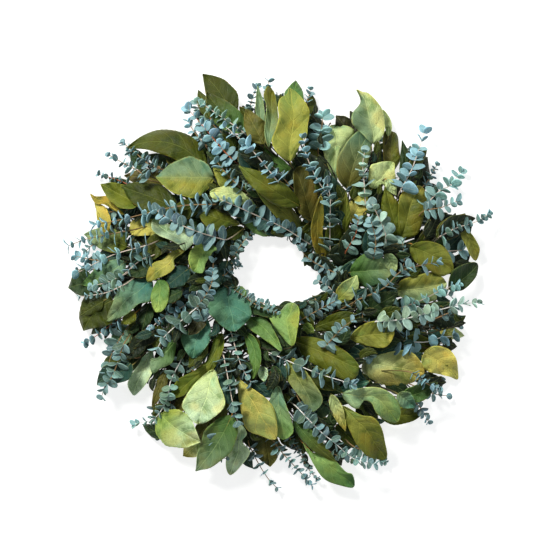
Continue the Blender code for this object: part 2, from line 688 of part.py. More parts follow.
def shared_out():
    """Lay every leaf and sprig on the pile, back to front, and sort them by bunch."""
    items = [Leaf(row) for row in SALAL_LEAVES] + [Sprig(row) for row in EUCALYPTUS_SPRIGS]
    items.sort(key=lambda item: item.layer)
    pile = Pile()
    salal = [[] for _ in range(BUNCHES)]
    eucalyptus = [[] for _ in range(BUNCHES)]
    for item in items:
        if isinstance(item, Leaf):
            place = pile.settle(item, (0, 1))
            offset = BLADE_LEVEL if place % 4 == 0 else -BLADE_LEVEL
            salal[place // 4 % BUNCHES].append((item, offset))
        else:
            place = pile.settle(item, (2,))
            eucalyptus[place // 4 % BUNCHES].append(item)
    return salal, eucalyptus


def hidden_growth(fan, in_sweep, out_sweep):
    """Two points low in a fan, one further out than the other."""
    for sweep, radius in ((in_sweep, HIDDEN_FROM), (out_sweep, HIDDEN_TO)):
        yield ring_point(fan * FAN_STEP + sweep * BUNCH_STEP, radius, 0).to_2d()


def build():
    """Make the wreath."""
    clear_scene()
    wire = finish("green_wire", (0.035, 0.06, 0.035), 0.45, 0.6)
    broad = finish("salal_leaf", (0.16, 0.2, 0.05), 0.5)
    silver = finish("eucalyptus_leaf", (0.2, 0.34, 0.3), 0.6)
    clamp_ring(wire)
    salal, eucalyptus = shared_out()
    for bunch in range(BUNCHES):
        if not salal[bunch]:
            *sweeps, width = HIDDEN_SALAL
            base, tip = hidden_growth(2 * bunch, *sweeps)
            salal[bunch] = [(Leaf((*base, *tip, width, 0, 0)), -BLADE_LEVEL)]
        if not eucalyptus[bunch]:
            *sweeps, leaf, roundness = HIDDEN_EUCALYPTUS
            ends = tuple(hidden_growth(2 * bunch + 1, *sweeps))
            eucalyptus[bunch] = [Sprig((ends, leaf, roundness, 0))]
        salal_spray(bunch, salal[bunch], broad)
        eucalyptus_spray(bunch, eucalyptus[bunch], silver)


build()
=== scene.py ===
"""Looks for the eucalyptus wreath: finer leaves, stems and wire in place of its plain solids.

Every leafy spray of the frame is replaced by one piece that lies in the same spiral shelf. The
leaves are thin closed blades with curled edges, veins, a tone of their own and a painted
highlight along the edge. Growth that the photograph shows only as dark gaps lies in the lowest
shelves, below the leaves that are seen, in near-black tones that paint the shade of those gaps.
Lengths are in millimetres until a mesh is made.
"""

from __future__ import annotations

import logging
import math
from collections.abc import Iterator, Sequence
from dataclasses import dataclass, field
from enum import Enum
from itertools import pairwise

import bpy
import numpy as np
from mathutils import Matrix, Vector

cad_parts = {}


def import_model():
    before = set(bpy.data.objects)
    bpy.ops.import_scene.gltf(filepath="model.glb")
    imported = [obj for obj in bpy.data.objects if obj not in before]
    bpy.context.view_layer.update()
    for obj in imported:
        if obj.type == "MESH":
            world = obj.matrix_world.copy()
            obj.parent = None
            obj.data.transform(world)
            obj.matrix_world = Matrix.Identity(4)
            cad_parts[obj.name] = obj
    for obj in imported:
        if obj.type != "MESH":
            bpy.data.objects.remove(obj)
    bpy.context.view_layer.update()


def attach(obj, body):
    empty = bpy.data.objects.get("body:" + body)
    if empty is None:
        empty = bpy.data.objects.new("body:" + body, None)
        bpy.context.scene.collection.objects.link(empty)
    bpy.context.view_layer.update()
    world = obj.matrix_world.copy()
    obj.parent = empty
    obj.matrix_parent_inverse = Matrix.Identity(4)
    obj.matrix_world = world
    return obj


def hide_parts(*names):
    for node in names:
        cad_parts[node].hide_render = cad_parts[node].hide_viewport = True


MM = 0.001
TURN = 2 * math.pi
UP = np.array((0.0, 0.0, 1.0))
Array = np.ndarray
Cell = tuple[int, int]
Pair = tuple[float, float]
Triple = tuple[float, float, float]
Socket = bpy.types.NodeSocket
Setting = float | int | str | bool | Sequence
log = logging.getLogger("wreath")


def linear(red: float, green: float, blue: float) -> Triple:
    """A colour read from 0 to 255 as the linear values that Blender works in."""
    return tuple((c / 255 / 12.92) if c < 11 else ((c / 255 + 0.055) / 1.055) ** 2.4
                 for c in (red, green, blue))


# Tones


class Tone(Enum):
    """The colours that single leaves and stems take."""

    DARK_OLIVE = linear(62, 72, 4)
    OLIVE = linear(100, 108, 28)
    YELLOW_OLIVE = linear(147, 150, 62)
    YELLOW = linear(204, 196, 98)
    PALE = linear(198, 216, 148)
    GREEN = linear(84, 122, 58)
    BRIGHT = linear(138, 176, 100)
    DEEP = linear(38, 62, 30)
    TEAL = linear(78, 132, 110)
    DARK_TEAL = linear(32, 68, 60)
    GREY_GREEN = linear(124, 152, 112)
    MINT = linear(200, 228, 184)
    LIME = linear(150, 176, 86)
    GOLD = linear(160, 144, 48)
    BROWN = linear(98, 94, 36)
    DARK_BROWN = linear(46, 46, 26)
    PALE_BLUE = linear(124, 170, 180)
    GREY_TEAL = linear(86, 120, 108)
    DUSK = linear(58, 84, 90)
    NIGHT = linear(30, 52, 46)
    SKY = linear(140, 190, 210)
    SAGE = linear(138, 172, 126)
    MOSS = linear(82, 108, 72)
    WHITE_STEM = linear(246, 242, 234)
    PINK_STEM = linear(224, 206, 190)
    RED_STEM = linear(176, 92, 54)
    TAN_STEM = linear(158, 126, 84)
    OLIVE_STEM = linear(140, 128, 60)
    ORANGE_STEM = linear(190, 130, 50)
    BARK = linear(92, 74, 48)
    # Near black: painted shade, for hidden leaves in the gaps
    SHADE_BLACK = linear(20, 34, 20)
    LILAC = linear(116, 130, 164)
    CYAN = linear(152, 208, 194)


SALAL_TONES = {
    "do": Tone.DARK_OLIVE, "ol": Tone.OLIVE, "yo": Tone.YELLOW_OLIVE, "ye": Tone.YELLOW,
    "pa": Tone.PALE, "gr": Tone.GREEN, "br": Tone.BRIGHT, "de": Tone.DEEP, "te": Tone.TEAL,
    "dt": Tone.DARK_TEAL, "gg": Tone.GREY_GREEN, "mi": Tone.MINT, "li": Tone.LIME,
    "go": Tone.GOLD, "bn": Tone.BROWN, "db": Tone.DARK_BROWN,
}
SPRIG_TONES = {
    "pb": Tone.PALE_BLUE, "gt": Tone.GREY_TEAL, "du": Tone.DUSK, "ni": Tone.NIGHT,
    "sk": Tone.SKY, "sa": Tone.SAGE, "mo": Tone.MOSS, "cy": Tone.CYAN, "mi": Tone.MINT,
}
STEM_TONES = {
    "w": Tone.WHITE_STEM, "p": Tone.PINK_STEM, "r": Tone.RED_STEM, "t": Tone.TAN_STEM,
}


# What is seen from the front

# Broad leaves as in the part's source: base x, y, tip x, y, width, bow to the left, layer, tone
SALAL_LEAVES = (
    # Upper left
    (-98, 148, -202, 174, 37, -20, 2, "do"), (-87, 135, -162, 135, 56, 0, 4, "yo|gg"),
    (-135, 96, -209, 124, 40, 0, 3, "do"), (-185, 99, -236, 127, 29, 0, 2, "ol"),
    (-205, 87, -251, 115, 20, 3, 2, "go"), (-226, 63, -244, 104, 20, 4, 2, "go>ye"),
    (-148, 132, -206, 139, 27, 0, 1, "bn"), (-32, 96, -91, 115, 23, -8, 4, "pa"),
    (-46, 106, -88, 150, 24, 0, 3, "ol>yo"),
    # Top
    (-62, 216, -102, 272, 37, -4, 2, "do"), (-92, 214, -108, 252, 16, 0, 1, "do"),
    (-45, 195, -96, 247, 32, 5, 3, "gr>do"), (-40, 205, -49, 231, 19, 0, 1, "de"),
    (-16, 180, -53, 227, 26, 0, 2, "do"), (-21, 177, -45, 222, 28, 0, 3, "bn"),
    (-24, 198, -29, 255, 11, 0, 3, "gg"), (-15, 177, -9, 255, 18, 0, 3, "gg>ol"),
    (13, 153, 13, 252, 49, -4, 4, "yo"), (16, 222, 21, 264, 26, 0, 1, "gr"),
    (17, 141, -21, 177, 15, 4, 4, "gr"), (26, 98, -53, 148, 29, 3, 4, "ol"),
    (30, 69, -33, 121, 21, 0, 3, "yo"), (42, 79, 15, 145, 33, 0, 3, "bn"),
    # Upper right
    (120, 176, 100, 249, 42, -8, 4, "gg|pa"), (92, 119, 132, 211, 45, 5, 3, "bn>gg"),
    (67, 206, 75, 131, 40, 0, 2, "pa"), (143, 191, 136, 226, 9, -3, 2, "pa"),
    (147, 143, 150, 197, 21, 0, 2, "bn|ol"), (162, 119, 161, 185, 16, -4, 2, "de"),
    (121, 121, 149, 154, 33, 0, 4, "pa"), (139, 132, 152, 112, 13, 0, 4, "pa"),
    (157, 53, 137, 123, 27, 0, 3, "ol"), (158, 53, 186, 124, 38, 6, 4, "ol>yo"),
    (92, 77, 114, 115, 26, 0, 3, "ye"), (86, 62, 86, 115, 11, 0, 4, "ol"),
    (172, 48, 227, 11, 38, 5, 4, "ol>yo"), (238, 77, 259, 25, 20, 5, 3, "yo"),
    (222, -11, 261, 24, 34, -6, 2, "de"),
    # Right
    (92, 11, 152, 16, 42, 0, 3, "gr>gg"), (137, 34, 148, 8, 16, 3, 4, "gg>pa"),
    (75, -26, 100, 7, 24, -3, 3, "yo>pa"), (152, -15, 219, -4, 36, 0, 3, "yo|pa"),
    (92, -74, 150, -69, 34, 2, 3, "yo"), (50, -61, 102, -46, 22, 5, 3, "do"),
    (18, -81, 106, -116, 45, 5, 4, "ol"), (112, -108, 190, -121, 43, 0, 4, "pa>ye"),
    (189, -100, 235, -132, 34, 4, 2, "ye"), (211, -66, 244, -73, 16, 0, 1, "ye>pa"),
    (158, -152, 206, -133, 24, -4, 2, "gr>de"), (154, -148, 177, -166, 21, 0, 3, "gg>te"),
    (150, -164, 185, -174, 19, 0, 1, "ol"), (82, -147, 154, -183, 38, 12, 4, "pa>li"),
    (116, -132, 67, -148, 12, 0, 3, "te"),
    # Bottom
    (81, -162, 140, -238, 44, 5, 3, "yo>ol"), (67, -149, 86, -197, 15, 0, 4, "pa>ye"),
    (12, -106, 42, -170, 32, 2, 4, "yo>gg"), (-3, -139, 5, -206, 33, 0, 3, "gg>br"),
    (-57, -121, -5, -206, 44, 4, 4, "ye"), (-48, -70, -36, -127, 22, 10, 4, "gr"),
    (18, -182, 75, -239, 18, -3, 3, "gr>ol"), (30, -213, 98, -272, 30, 4, 2, "br>gr"),
    (62, -160, 45, -182, 22, 0, 2, "gg"), (86, -186, 104, -215, 11, 0, 3, "ol"),
    (-20, -201, -13, -246, 36, 0, 1, "bn"), (7, -201, 11, -220, 18, 0, 1, "do"),
    (-63, -176, -111, -251, 42, 4, 4, "gr>gg"), (-49, -186, -66, -257, 22, 3, 3, "mi"),
    (-88, -117, -107, -189, 55, 2, 4, "pa>mi"), (-158, -176, -104, -211, 50, -3, 3, "li>mi"),
    (-103, -211, -128, -232, 26, 0, 2, "pa>ye"), (-69, -158, -104, -198, 22, 0, 2, "bn"),
    (-152, -206, -182, -190, 16, 0, 1, "de"), (-77, -70, -143, -154, 28, 9, 3, "ol"),
    (-170, -92, -193, -153, 25, 0, 3, "mi"), (-137, -77, -165, -106, 25, 0, 3, "gr>gg"),
    (-104, -50, -115, -102, 34, 0, 3, "te"), (-194, -111, -243, -137, 24, 3, 1, "dt"),
    (-148, -116, -169, -168, 13, 0, 2, "bn"),
    # Left
    (-161, 71, -194, 66, 20, 0, 3, "ye"), (-116, 42, -165, 79, 29, 3, 4, "mi"),
    (-123, 41, -172, 0, 27, 0, 4, "ye>yo"), (-91, 45, -108, 12, 28, 0, 4, "br|li"),
    (-169, 0, -226, -54, 45, 0, 4, "te>gg"), (-157, 3, -162, -41, 23, 3, 4, "gr>li"),
    (-119, 16, -150, -9, 27, 0, 2, "dt"), (-244, 0, -279, -9, 36, 0, 1, "de"),
    (-203, 24, -261, -5, 29, 3, 2, "gg>gr"), (-219, -26, -259, -66, 48, -6, 2, "do"),
    (-231, -26, -264, -46, 18, 0, 3, "do"), (-198, -61, -222, -86, 28, 0, 2, "gg"),
    (-189, -42, -207, -57, 15, 0, 3, "ol"), (-172, -30, -181, -66, 18, 0, 2, "de"),
    (-104, -37, -119, -71, 22, 4, 3, "db"), (-201, 44, -259, 61, 30, -3, 2, "ol>gg"),
    # Round the hole
    (-70, -7, -58, -66, 55, 0, 4, "te"), (-58, -9, -44, -22, 13, 0, 3, "br"),
    (16, -84, 17, -31, 38, 3, 4, "br|li"), (-45, -42, 1, -90, 34, 5, 1, "gr>br"),
    (-53, 74, -102, 86, 24, 0, 3, "ol"), (-16, 59, -51, 78, 16, -3, 3, "br>gr"),
    (-49, 67, -74, 57, 19, 0, 3, "do"), (53, 111, 58, 28, 19, -6, 4, "go"),
    (-69, 26, -77, -4, 22, 0, 3, "dt"), (-24, -112, -20, -132, 13, 0, 3, "mi"),
    (-37, -132, -11, -153, 16, 0, 2, "dt"), (30, -58, 45, -69, 14, 0, 3, "li"),
    (-53, -30, -7, -49, 16, 3, 1, "de"),
    # Tucked in below the rest
    (100, 186, 74, 218, 28, 0, 0, "db"), (132, -178, 188, -177, 24, 0, 0, "ol"),
    (-32, -42, 6, -86, 20, 0, 0, "de"), (74, -190, 112, -226, 20, 0, 0, "do"),
    (-88, -178, -114, -216, 24, 0, 0, "bn"), (138, -130, 174, -152, 20, 0, 0, "de"),
    (-172, -98, -200, -130, 20, 0, 0, "dt"), (18, -164, 52, -202, 18, 0, 0, "de"),
    (-4, -208, -2, -246, 18, 0, 0, "do"), (-172, -30, -150, -62, 18, 0, 0, "dt"),
    (-180, 146, -196, 176, 20, 0, 0, "de"), (-70, -60, -78, -104, 20, 0, 0, "db"),
    (-118, -150, -150, -178, 20, 0, 0, "bn"), (200, -92, 232, -112, 18, 0, 0, "ol"),
)

# Outlines of leaves with a form of their own, read off the photograph in its pixels, each under
# its leaf's place in the list above
MIDDLE_PIXEL = 280
PIXEL = 1.32
OUTLINES = {
    4: ((125, 214), (116, 205), (112, 196), (96, 196), (90, 193), (96, 203), (105, 204),
        (115, 210)),
    5: ((109, 232), (112, 221), (108, 210), (103, 205), (95, 202), (97, 211), (99, 223),
        (103, 230)),
    7: ((256, 207), (250, 199), (238, 189), (225, 187), (211, 193), (218, 201), (240, 205)),
    16: ((269, 149), (271, 143), (277, 129), (278, 118), (276, 103), (273, 92), (268, 88),
         (264, 98), (267, 108), (266, 120), (265, 132), (266, 142)),
    17: ((290, 163), (281, 159), (275, 152), (272, 143), (276, 132), (279, 120), (278, 110),
         (280, 101), (287, 96), (290, 90), (298, 96), (305, 105), (309, 114), (307, 128),
         (306, 138), (299, 148), (295, 157)),
    22: ((312, 220), (318, 205), (316, 190), (311, 178), (303, 167), (294, 172), (294, 190),
         (297, 208), (303, 217)),
    23: ((372, 144), (381, 138), (384, 128), (383, 116), (380, 107), (369, 94), (362, 92),
         (356, 90), (360, 99), (359, 105), (352, 114), (351, 123), (354, 128), (360, 133)),
    24: ((348, 190), (355, 186), (363, 174), (369, 157), (372, 143), (379, 130), (380, 119),
         (364, 127), (350, 138), (343, 148), (337, 159), (336, 169), (338, 180)),
    25: ((331, 125), (344, 125), (351, 127), (354, 131), (348, 141), (343, 148), (338, 159),
         (336, 167), (337, 181), (332, 175), (326, 161), (323, 150), (325, 143), (328, 135)),
    27: ((391, 172), (399, 162), (400, 156), (399, 150), (398, 136), (394, 131), (384, 132),
         (384, 161)),
    29: ((372, 188), (369, 186), (368, 178), (370, 166), (375, 164), (382, 162), (393, 162),
         (394, 171), (395, 178), (393, 191), (387, 190), (383, 183), (376, 188)),
    32: ((400, 240), (398, 222), (398, 200), (405, 190), (420, 186), (426, 196), (423, 215),
         (418, 232), (408, 238)),
    35: ((409, 246), (425, 241), (442, 246), (450, 258), (452, 270), (440, 275), (425, 268),
         (413, 260)),
    36: ((462, 228), (470, 233), (478, 245), (479, 252), (476, 260), (470, 255), (465, 245),
         (460, 235)),
    37: ((448, 288), (452, 270), (470, 262), (478, 264), (476, 275), (468, 285), (460, 290)),
    41: ((396, 291), (400, 280), (420, 274), (433, 272), (446, 282), (440, 295), (425, 302),
         (405, 298), (395, 293)),
    42: ((350, 338), (358, 326), (372, 320), (385, 324), (393, 331), (385, 345), (370, 345)),
    43: ((313, 328), (325, 317), (340, 311), (352, 312), (358, 316), (345, 325), (330, 330)),
    44: ((293, 341), (300, 336), (320, 338), (345, 350), (358, 366), (350, 378), (330, 372),
         (310, 360)),
    45: ((365, 358), (375, 355), (395, 350), (408, 350), (418, 358), (424, 372), (412, 382),
         (390, 385), (375, 380), (362, 370)),
    46: ((421, 362), (423, 352), (433, 345), (447, 348), (455, 357), (458, 370), (458, 379),
         (450, 376), (438, 373), (427, 370)),
    51: ((342, 391), (365, 385), (380, 386), (393, 395), (399, 408), (396, 420), (385, 418),
         (375, 410), (370, 400), (362, 398), (357, 406), (349, 403)),
    53: ((342, 404), (360, 413), (372, 415), (380, 425), (384, 440), (386, 458), (370, 456),
         (358, 445), (350, 430), (345, 418)),
    55: ((289, 360), (296, 358), (313, 380), (322, 398), (311, 410), (302, 398), (290, 382),
         (284, 370)),
    56: ((278, 384), (285, 400), (293, 425), (290, 433), (284, 437), (278, 435), (273, 430),
         (270, 400)),
    57: ((236, 372), (243, 380), (265, 395), (275, 410), (276, 436), (260, 433), (248, 428),
         (243, 415)),
    58: ((244, 332), (252, 334), (258, 342), (261, 352), (260, 365), (253, 377), (251, 362),
         (248, 348)),
    60: ((303, 441), (310, 450), (330, 455), (345, 470), (352, 473), (354, 486), (340, 484),
         (325, 478), (315, 465)),
    66: ((240, 423), (247, 432), (242, 440), (250, 450), (243, 462), (230, 475), (226, 460),
         (236, 440)),
    67: ((214, 368), (220, 382), (226, 400), (218, 412), (199, 422), (185, 408), (184, 400),
         (196, 382)),
    72: ((223, 333), (224, 347), (217, 363), (209, 373), (198, 380), (187, 392), (173, 397),
         (173, 389), (179, 378), (194, 370), (206, 361), (212, 348), (215, 336)),
    73: ((151, 350), (154, 358), (153, 370), (146, 383), (138, 392), (133, 395), (128, 387),
         (128, 381), (133, 372), (139, 361)),
    74: ((176, 339), (176, 349), (173, 361), (162, 367), (153, 372), (151, 359), (160, 356),
         (165, 345)),
    75: ((205, 316), (211, 325), (211, 336), (208, 344), (194, 357), (182, 339), (187, 330),
         (197, 324)),
    76: ((132, 362), (105, 365), (97, 382), (103, 384), (130, 378)),
    78: ((158, 226), (156, 219), (141, 219), (132, 221), (132, 234), (150, 235), (158, 234)),
    79: ((187, 250), (197, 236), (185, 229), (165, 223), (155, 218), (153, 228), (160, 235),
         (167, 238), (178, 243)),
    80: ((187, 248), (173, 251), (165, 259), (156, 262), (150, 269), (149, 281), (161, 277),
         (171, 272), (176, 266), (175, 259), (184, 252)),
    81: ((211, 244), (201, 243), (193, 249), (190, 257), (191, 264), (195, 271), (204, 272),
         (206, 264), (210, 257), (214, 251), (219, 249)),
    82: ((152, 279), (128, 281), (118, 291), (114, 303), (108, 320), (127, 314), (140, 303),
         (152, 299)),
    83: ((160, 279), (170, 284), (170, 298), (165, 309), (157, 310), (153, 295)),
    94: ((227, 285), (235, 288), (247, 298), (251, 309), (250, 317), (235, 330), (223, 325),
         (214, 317), (207, 309), (211, 300), (216, 291)),
    96: ((292, 344), (297, 328), (299, 314), (298, 306), (293, 302), (286, 304), (279, 312),
         (269, 315), (279, 331)),
    97: ((246, 313), (252, 316), (265, 318), (274, 330), (282, 349), (270, 342), (260, 335),
         (247, 325)),
    98: ((240, 224), (230, 226), (223, 230), (214, 231), (203, 221), (203, 213), (223, 209),
         (228, 214)),
    101: ((320, 197), (312, 220), (311, 235), (315, 250), (323, 259), (327, 250), (322, 235),
          (323, 215)),
}

# Sprigs: points root to tip, leaf length, visible width over length, layer, leaf and stem tones
EUCALYPTUS_SPRIGS = (
    # Left and upper left
    (((-86, 99), (-119, 98), (-154, 92), (-205, 79), (-240, 73)), 17, 0.45, 5, "pb", "t"),
    (((-198, 65), (-231, 59), (-255, 54), (-277, 46)), 14, 0.4, 5, "pb", "t"),
    (((-173, 46), (-210, 36), (-230, 28), (-263, 11)), 18, 0.35, 5, "pb", "p"),
    (((-166, 33), (-183, 26), (-205, 7)), 17, 0.35, 5, "gt", "p"),
    (((-107, -34), (-129, -53), (-150, -73), (-158, -86)), 21, 0.6, 5, "mo", "w"),
    (((-209, -48), (-238, -70), (-257, -82)), 15, 0.7, 2, "du", "r"),
    (((-73, 53), (-106, 63), (-139, 77), (-158, 90)), 18, 0.9, 5, "du", "p"),
    (((-230, 26), (-250, 28), (-271, 33)), 13, 0.8, 2, "pb", "t"),
    (((-205, 7), (-225, -2), (-246, -7)), 14, 0.9, 3, "mo", "p"),
    (((-205, -7), (-227, -16), (-260, -21)), 10, 0.7, 5, "mo", "p"),
    (((-125, -33), (-156, -51), (-169, -63)), 11, 0.7, 5, "sk", "p"),
    (((-99, -53), (-112, -26), (-128, -11)), 14, 0.9, 4, "du", "t"),
    (((-161, 148), (-174, 154), (-191, 169), (-209, 183)), 12, 0.6, 1, "ni", "t"),
    (((-172, 132), (-185, 143), (-211, 157), (-223, 164)), 12, 0.5, 1, "du", "t"),
    (((-190, 122), (-215, 133), (-238, 140)), 10, 0.5, 1, "ni", "r"),
    # Top
    (((-46, 191), (-55, 198), (-71, 209), (-87, 220), (-103, 232)), 13, 0.4, 5, "sa", "p"),
    (((-3, 128), (-24, 154), (-41, 173), (-70, 198)), 16, 0.5, 5, "sk", "p"),
    (((-62, 158), (-73, 169), (-88, 187), (-110, 213), (-120, 224)), 14, 0.9, 5, "sk", "r"),
    (((-49, 119), (-66, 135), (-83, 156)), 17, 0.4, 5, "pb", "t"),
    (((66, 106), (50, 128), (42, 143), (33, 165), (30, 186)), 15, 0.6, 5, "sk", "p"),
    (((-45, 200), (-37, 238), (-30, 257)), 11, 0.7, 1, "ni", "t"),
    (((-20, 200), (-18, 238), (-15, 262)), 11, 0.7, 1, "du", "t"),
    (((20, 190), (33, 225), (40, 252)), 13, 0.7, 1, "ni", "t"),
    (((50, 172), (54, 195), (57, 220)), 18, 0.8, 3, "cy", "t"),
    # Upper right
    (((66, 38), (65, 69), (65, 106), (61, 125)), 17, 0.6, 5, "mo", "p"),
    (((112, 99), (110, 125), (108, 152), (111, 172)), 17, 0.6, 5, "mi", "p"),
    (((139, 40), (138, 62), (130, 80), (120, 100)), 20, 0.95, 5, "mi", "p"),
    (((158, 119), (172, 145), (182, 172), (189, 194)), 17, 0.8, 5, "sk", "p"),
    (((191, 99), (211, 119), (224, 125), (238, 143)), 17, 0.8, 3, "cy", "p"),
    (((178, 112), (195, 132), (207, 152)), 10, 0.4, 1, "ni", "t"),
    (((211, 59), (231, 69), (257, 77), (275, 88)), 14, 0.6, 3, "gt", "p"),
    (((185, 24), (211, 37), (240, 40)), 18, 0.8, 3, "gt", "p"),
    # Right
    (((99, -26), (135, -9), (158, 13), (203, 24)), 17, 0.5, 4, "gt", "t"),
    (((152, -38), (185, -26), (211, -13), (236, -4)), 13, 0.8, 5, "cy", "p"),
    (((125, -53), (158, -50), (198, -40), (238, -30), (257, -29)), 15, 0.9, 5, "mi", "w"),
    (((153, -78), (189, -81), (211, -75), (228, -73)), 24, 0.65, 5, "sk", "w"),
    (((66, -42), (79, -38), (100, -26)), 19, 0.6, 3, "mo", "t"),
    (((59, -86), (79, -63), (95, -50)), 13, 0.85, 5, "mo", "t"),
    (((172, -120), (191, -134), (210, -143)), 10, 0.4, 4, "pb", "t"),
    (((178, -160), (188, -172), (196, -186)), 11, 0.8, 1, "ni", "t"),
    # Bottom
    (((-13, -95), (46, -119), (99, -135)), 18, 0.6, 5, "mo", "w"),
    (((25, -168), (51, -195), (73, -213), (95, -232), (123, -240)), 14, 0.8, 5, "mo", "w"),
    (((-13, -205), (4, -227), (24, -249), (42, -269)), 12, 0.6, 2, "du", "t"),
    (((12, -206), (24, -224), (38, -249), (51, -264)), 8, 0.4, 1, "ni", "t"),
    (((-40, -218), (-29, -240), (-16, -261), (-5, -273)), 12, 0.5, 1, "ni", "t"),
    (((-73, -100), (-66, -135), (-61, -160), (-55, -182)), 16, 0.4, 5, "mo", "p"),
    (((-65, -66), (-51, -110), (-38, -132)), 15, 0.4, 4, "mo", "p"),
    (((-129, -103), (-143, -131), (-149, -157), (-165, -181), (-191, -189)), 13, 0.8, 5, "sa", "w"),
    (((-205, -84), (-219, -124), (-230, -139), (-234, -152)), 15, 0.8, 4, "mo", "t"),
    (((13, -132), (26, -158), (40, -182)), 17, 0.7, 2, "ni", "t"),
    # Round the hole
    (((42, 46), (12, 65), (-8, 75)), 16, 0.9, 3, "ni", "p"),
    (((-8, 75), (-46, 92), (-79, 106)), 16, 0.9, 5, "gt", "p"),
    (((78, 8), (52, 20), (32, 34), (26, 50)), 13, 0.9, 3, "ni", "t"),
    (((-106, -33), (-90, -7), (-87, 24)), 13, 0.9, 4, "ni", "t"),
    (((-73, 7), (-63, 15), (-52, 20)), 9, 0.5, 3, "ni", "t"),
    (((-58, -13), (-29, -33), (-3, -42)), 9, 0.5, 4, "mo", "t"),
    (((79, -26), (63, -7), (50, 0)), 13, 0.9, 3, "mo", "p"),
    (((26, -53), (53, -37), (73, -26)), 14, 0.8, 3, "ni", "t"),
    # Tucked in below the rest
    (((-150, 146), (-178, 158), (-200, 170)), 14, 0.7, 0, "ni", "t"),
    (((-225, 52), (-248, 45), (-268, 38)), 14, 0.8, 0, "gt", "t"),
    (((96, -218), (116, -228), (138, -240)), 13, 0.8, 0, "mo", "t"),
    (((-5, -222), (12, -246), (24, -262)), 14, 0.8, 0, "ni", "t"),
    (((30, -225), (50, -248), (62, -262)), 14, 0.8, 0, "mo", "r"),
    (((196, -108), (222, -104), (240, -92)), 16, 0.8, 0, "gt", "t"),
    (((180, -140), (205, -150), (220, -152)), 14, 0.8, 0, "du", "t"),
    (((190, 92), (212, 96), (232, 104)), 15, 0.8, 0, "gt", "t"),
    (((205, 70), (232, 58), (252, 66)), 15, 0.8, 0, "mo", "t"),
    (((-72, 190), (-95, 212), (-112, 236)), 15, 0.8, 0, "sa", "t"),
    (((95, -8), (120, -15), (150, -22)), 13, 0.85, 0, "sa", "p"),
    (((-60, 32), (-49, 50), (-36, 64)), 10, 0.8, 0, "mo", "t"),
    (((-54, -14), (-37, -25), (-10, -33)), 9, 0.8, 0, "gt", "t"),
    (((-208, -72), (-221, -95), (-228, -118)), 16, 0.8, 0, "mo", "t"),
    (((-100, 180), (-113, 196), (-121, 210)), 14, 0.8, 0, "sk", "t"),
    (((-212, -58), (-236, -67), (-250, -69)), 15, 0.8, 0, "mo", "t"),
    (((196, 112), (212, 128), (224, 134)), 15, 0.8, 0, "gt", "t"),
    (((-226, 62), (-244, 50), (-256, 40)), 14, 0.8, 0, "gt", "t"),
    (((6, -222), (20, -238), (30, -258)), 13, 0.8, 0, "ni", "r"),
    (((84, 16), (66, 2), (54, -10)), 11, 0.8, 0, "mo", "t"),
    (((-82, 12), (-70, 20), (-58, 25)), 11, 0.8, 0, "ni", "t"),
    (((86, 38), (98, 60), (102, 82)), 13, 0.8, 0, "mo", "r"),
    (((122, 30), (124, 52), (118, 76)), 14, 0.85, 0, "gt", "t"),
    (((100, 24), (112, 44), (128, 66)), 12, 0.8, 0, "mo", "t"),
)


def smoothed(corners: Array, start: int, end: int, shares: Array) -> Array:
    """A smooth curve through some corners of a closed outline.

    Args:
        corners: The outline's corners, n by 2.
        start, end: The first and last corner's number, going up or down.
        shares: Shares of the curve's length.

    Returns:
        The points at those shares.
    """
    step = 1 if end > start else -1
    numbers = range(start, end, step)
    curve = [corners[start % len(corners)]]
    for i in numbers:
        a, b, c, d = (corners[(i + k * step) % len(corners)] for k in (-1, 0, 1, 2))
        for t in (0.2, 0.4, 0.6, 0.8, 1.0):
            bend = 2 * b + (c - a) * t + (2 * a - 5 * b + 4 * c - d) * t**2
            curve.append((bend + (3 * b - a - 3 * c + d) * t**3) / 2)
    curve = np.array(curve)
    gone = np.concatenate([[0.0], np.cumsum(np.linalg.norm(np.diff(curve, axis=0), axis=1))])
    at = shares * gone[-1]
    return np.column_stack([np.interp(at, gone, curve[:, k]) for k in (0, 1)])


# The fans


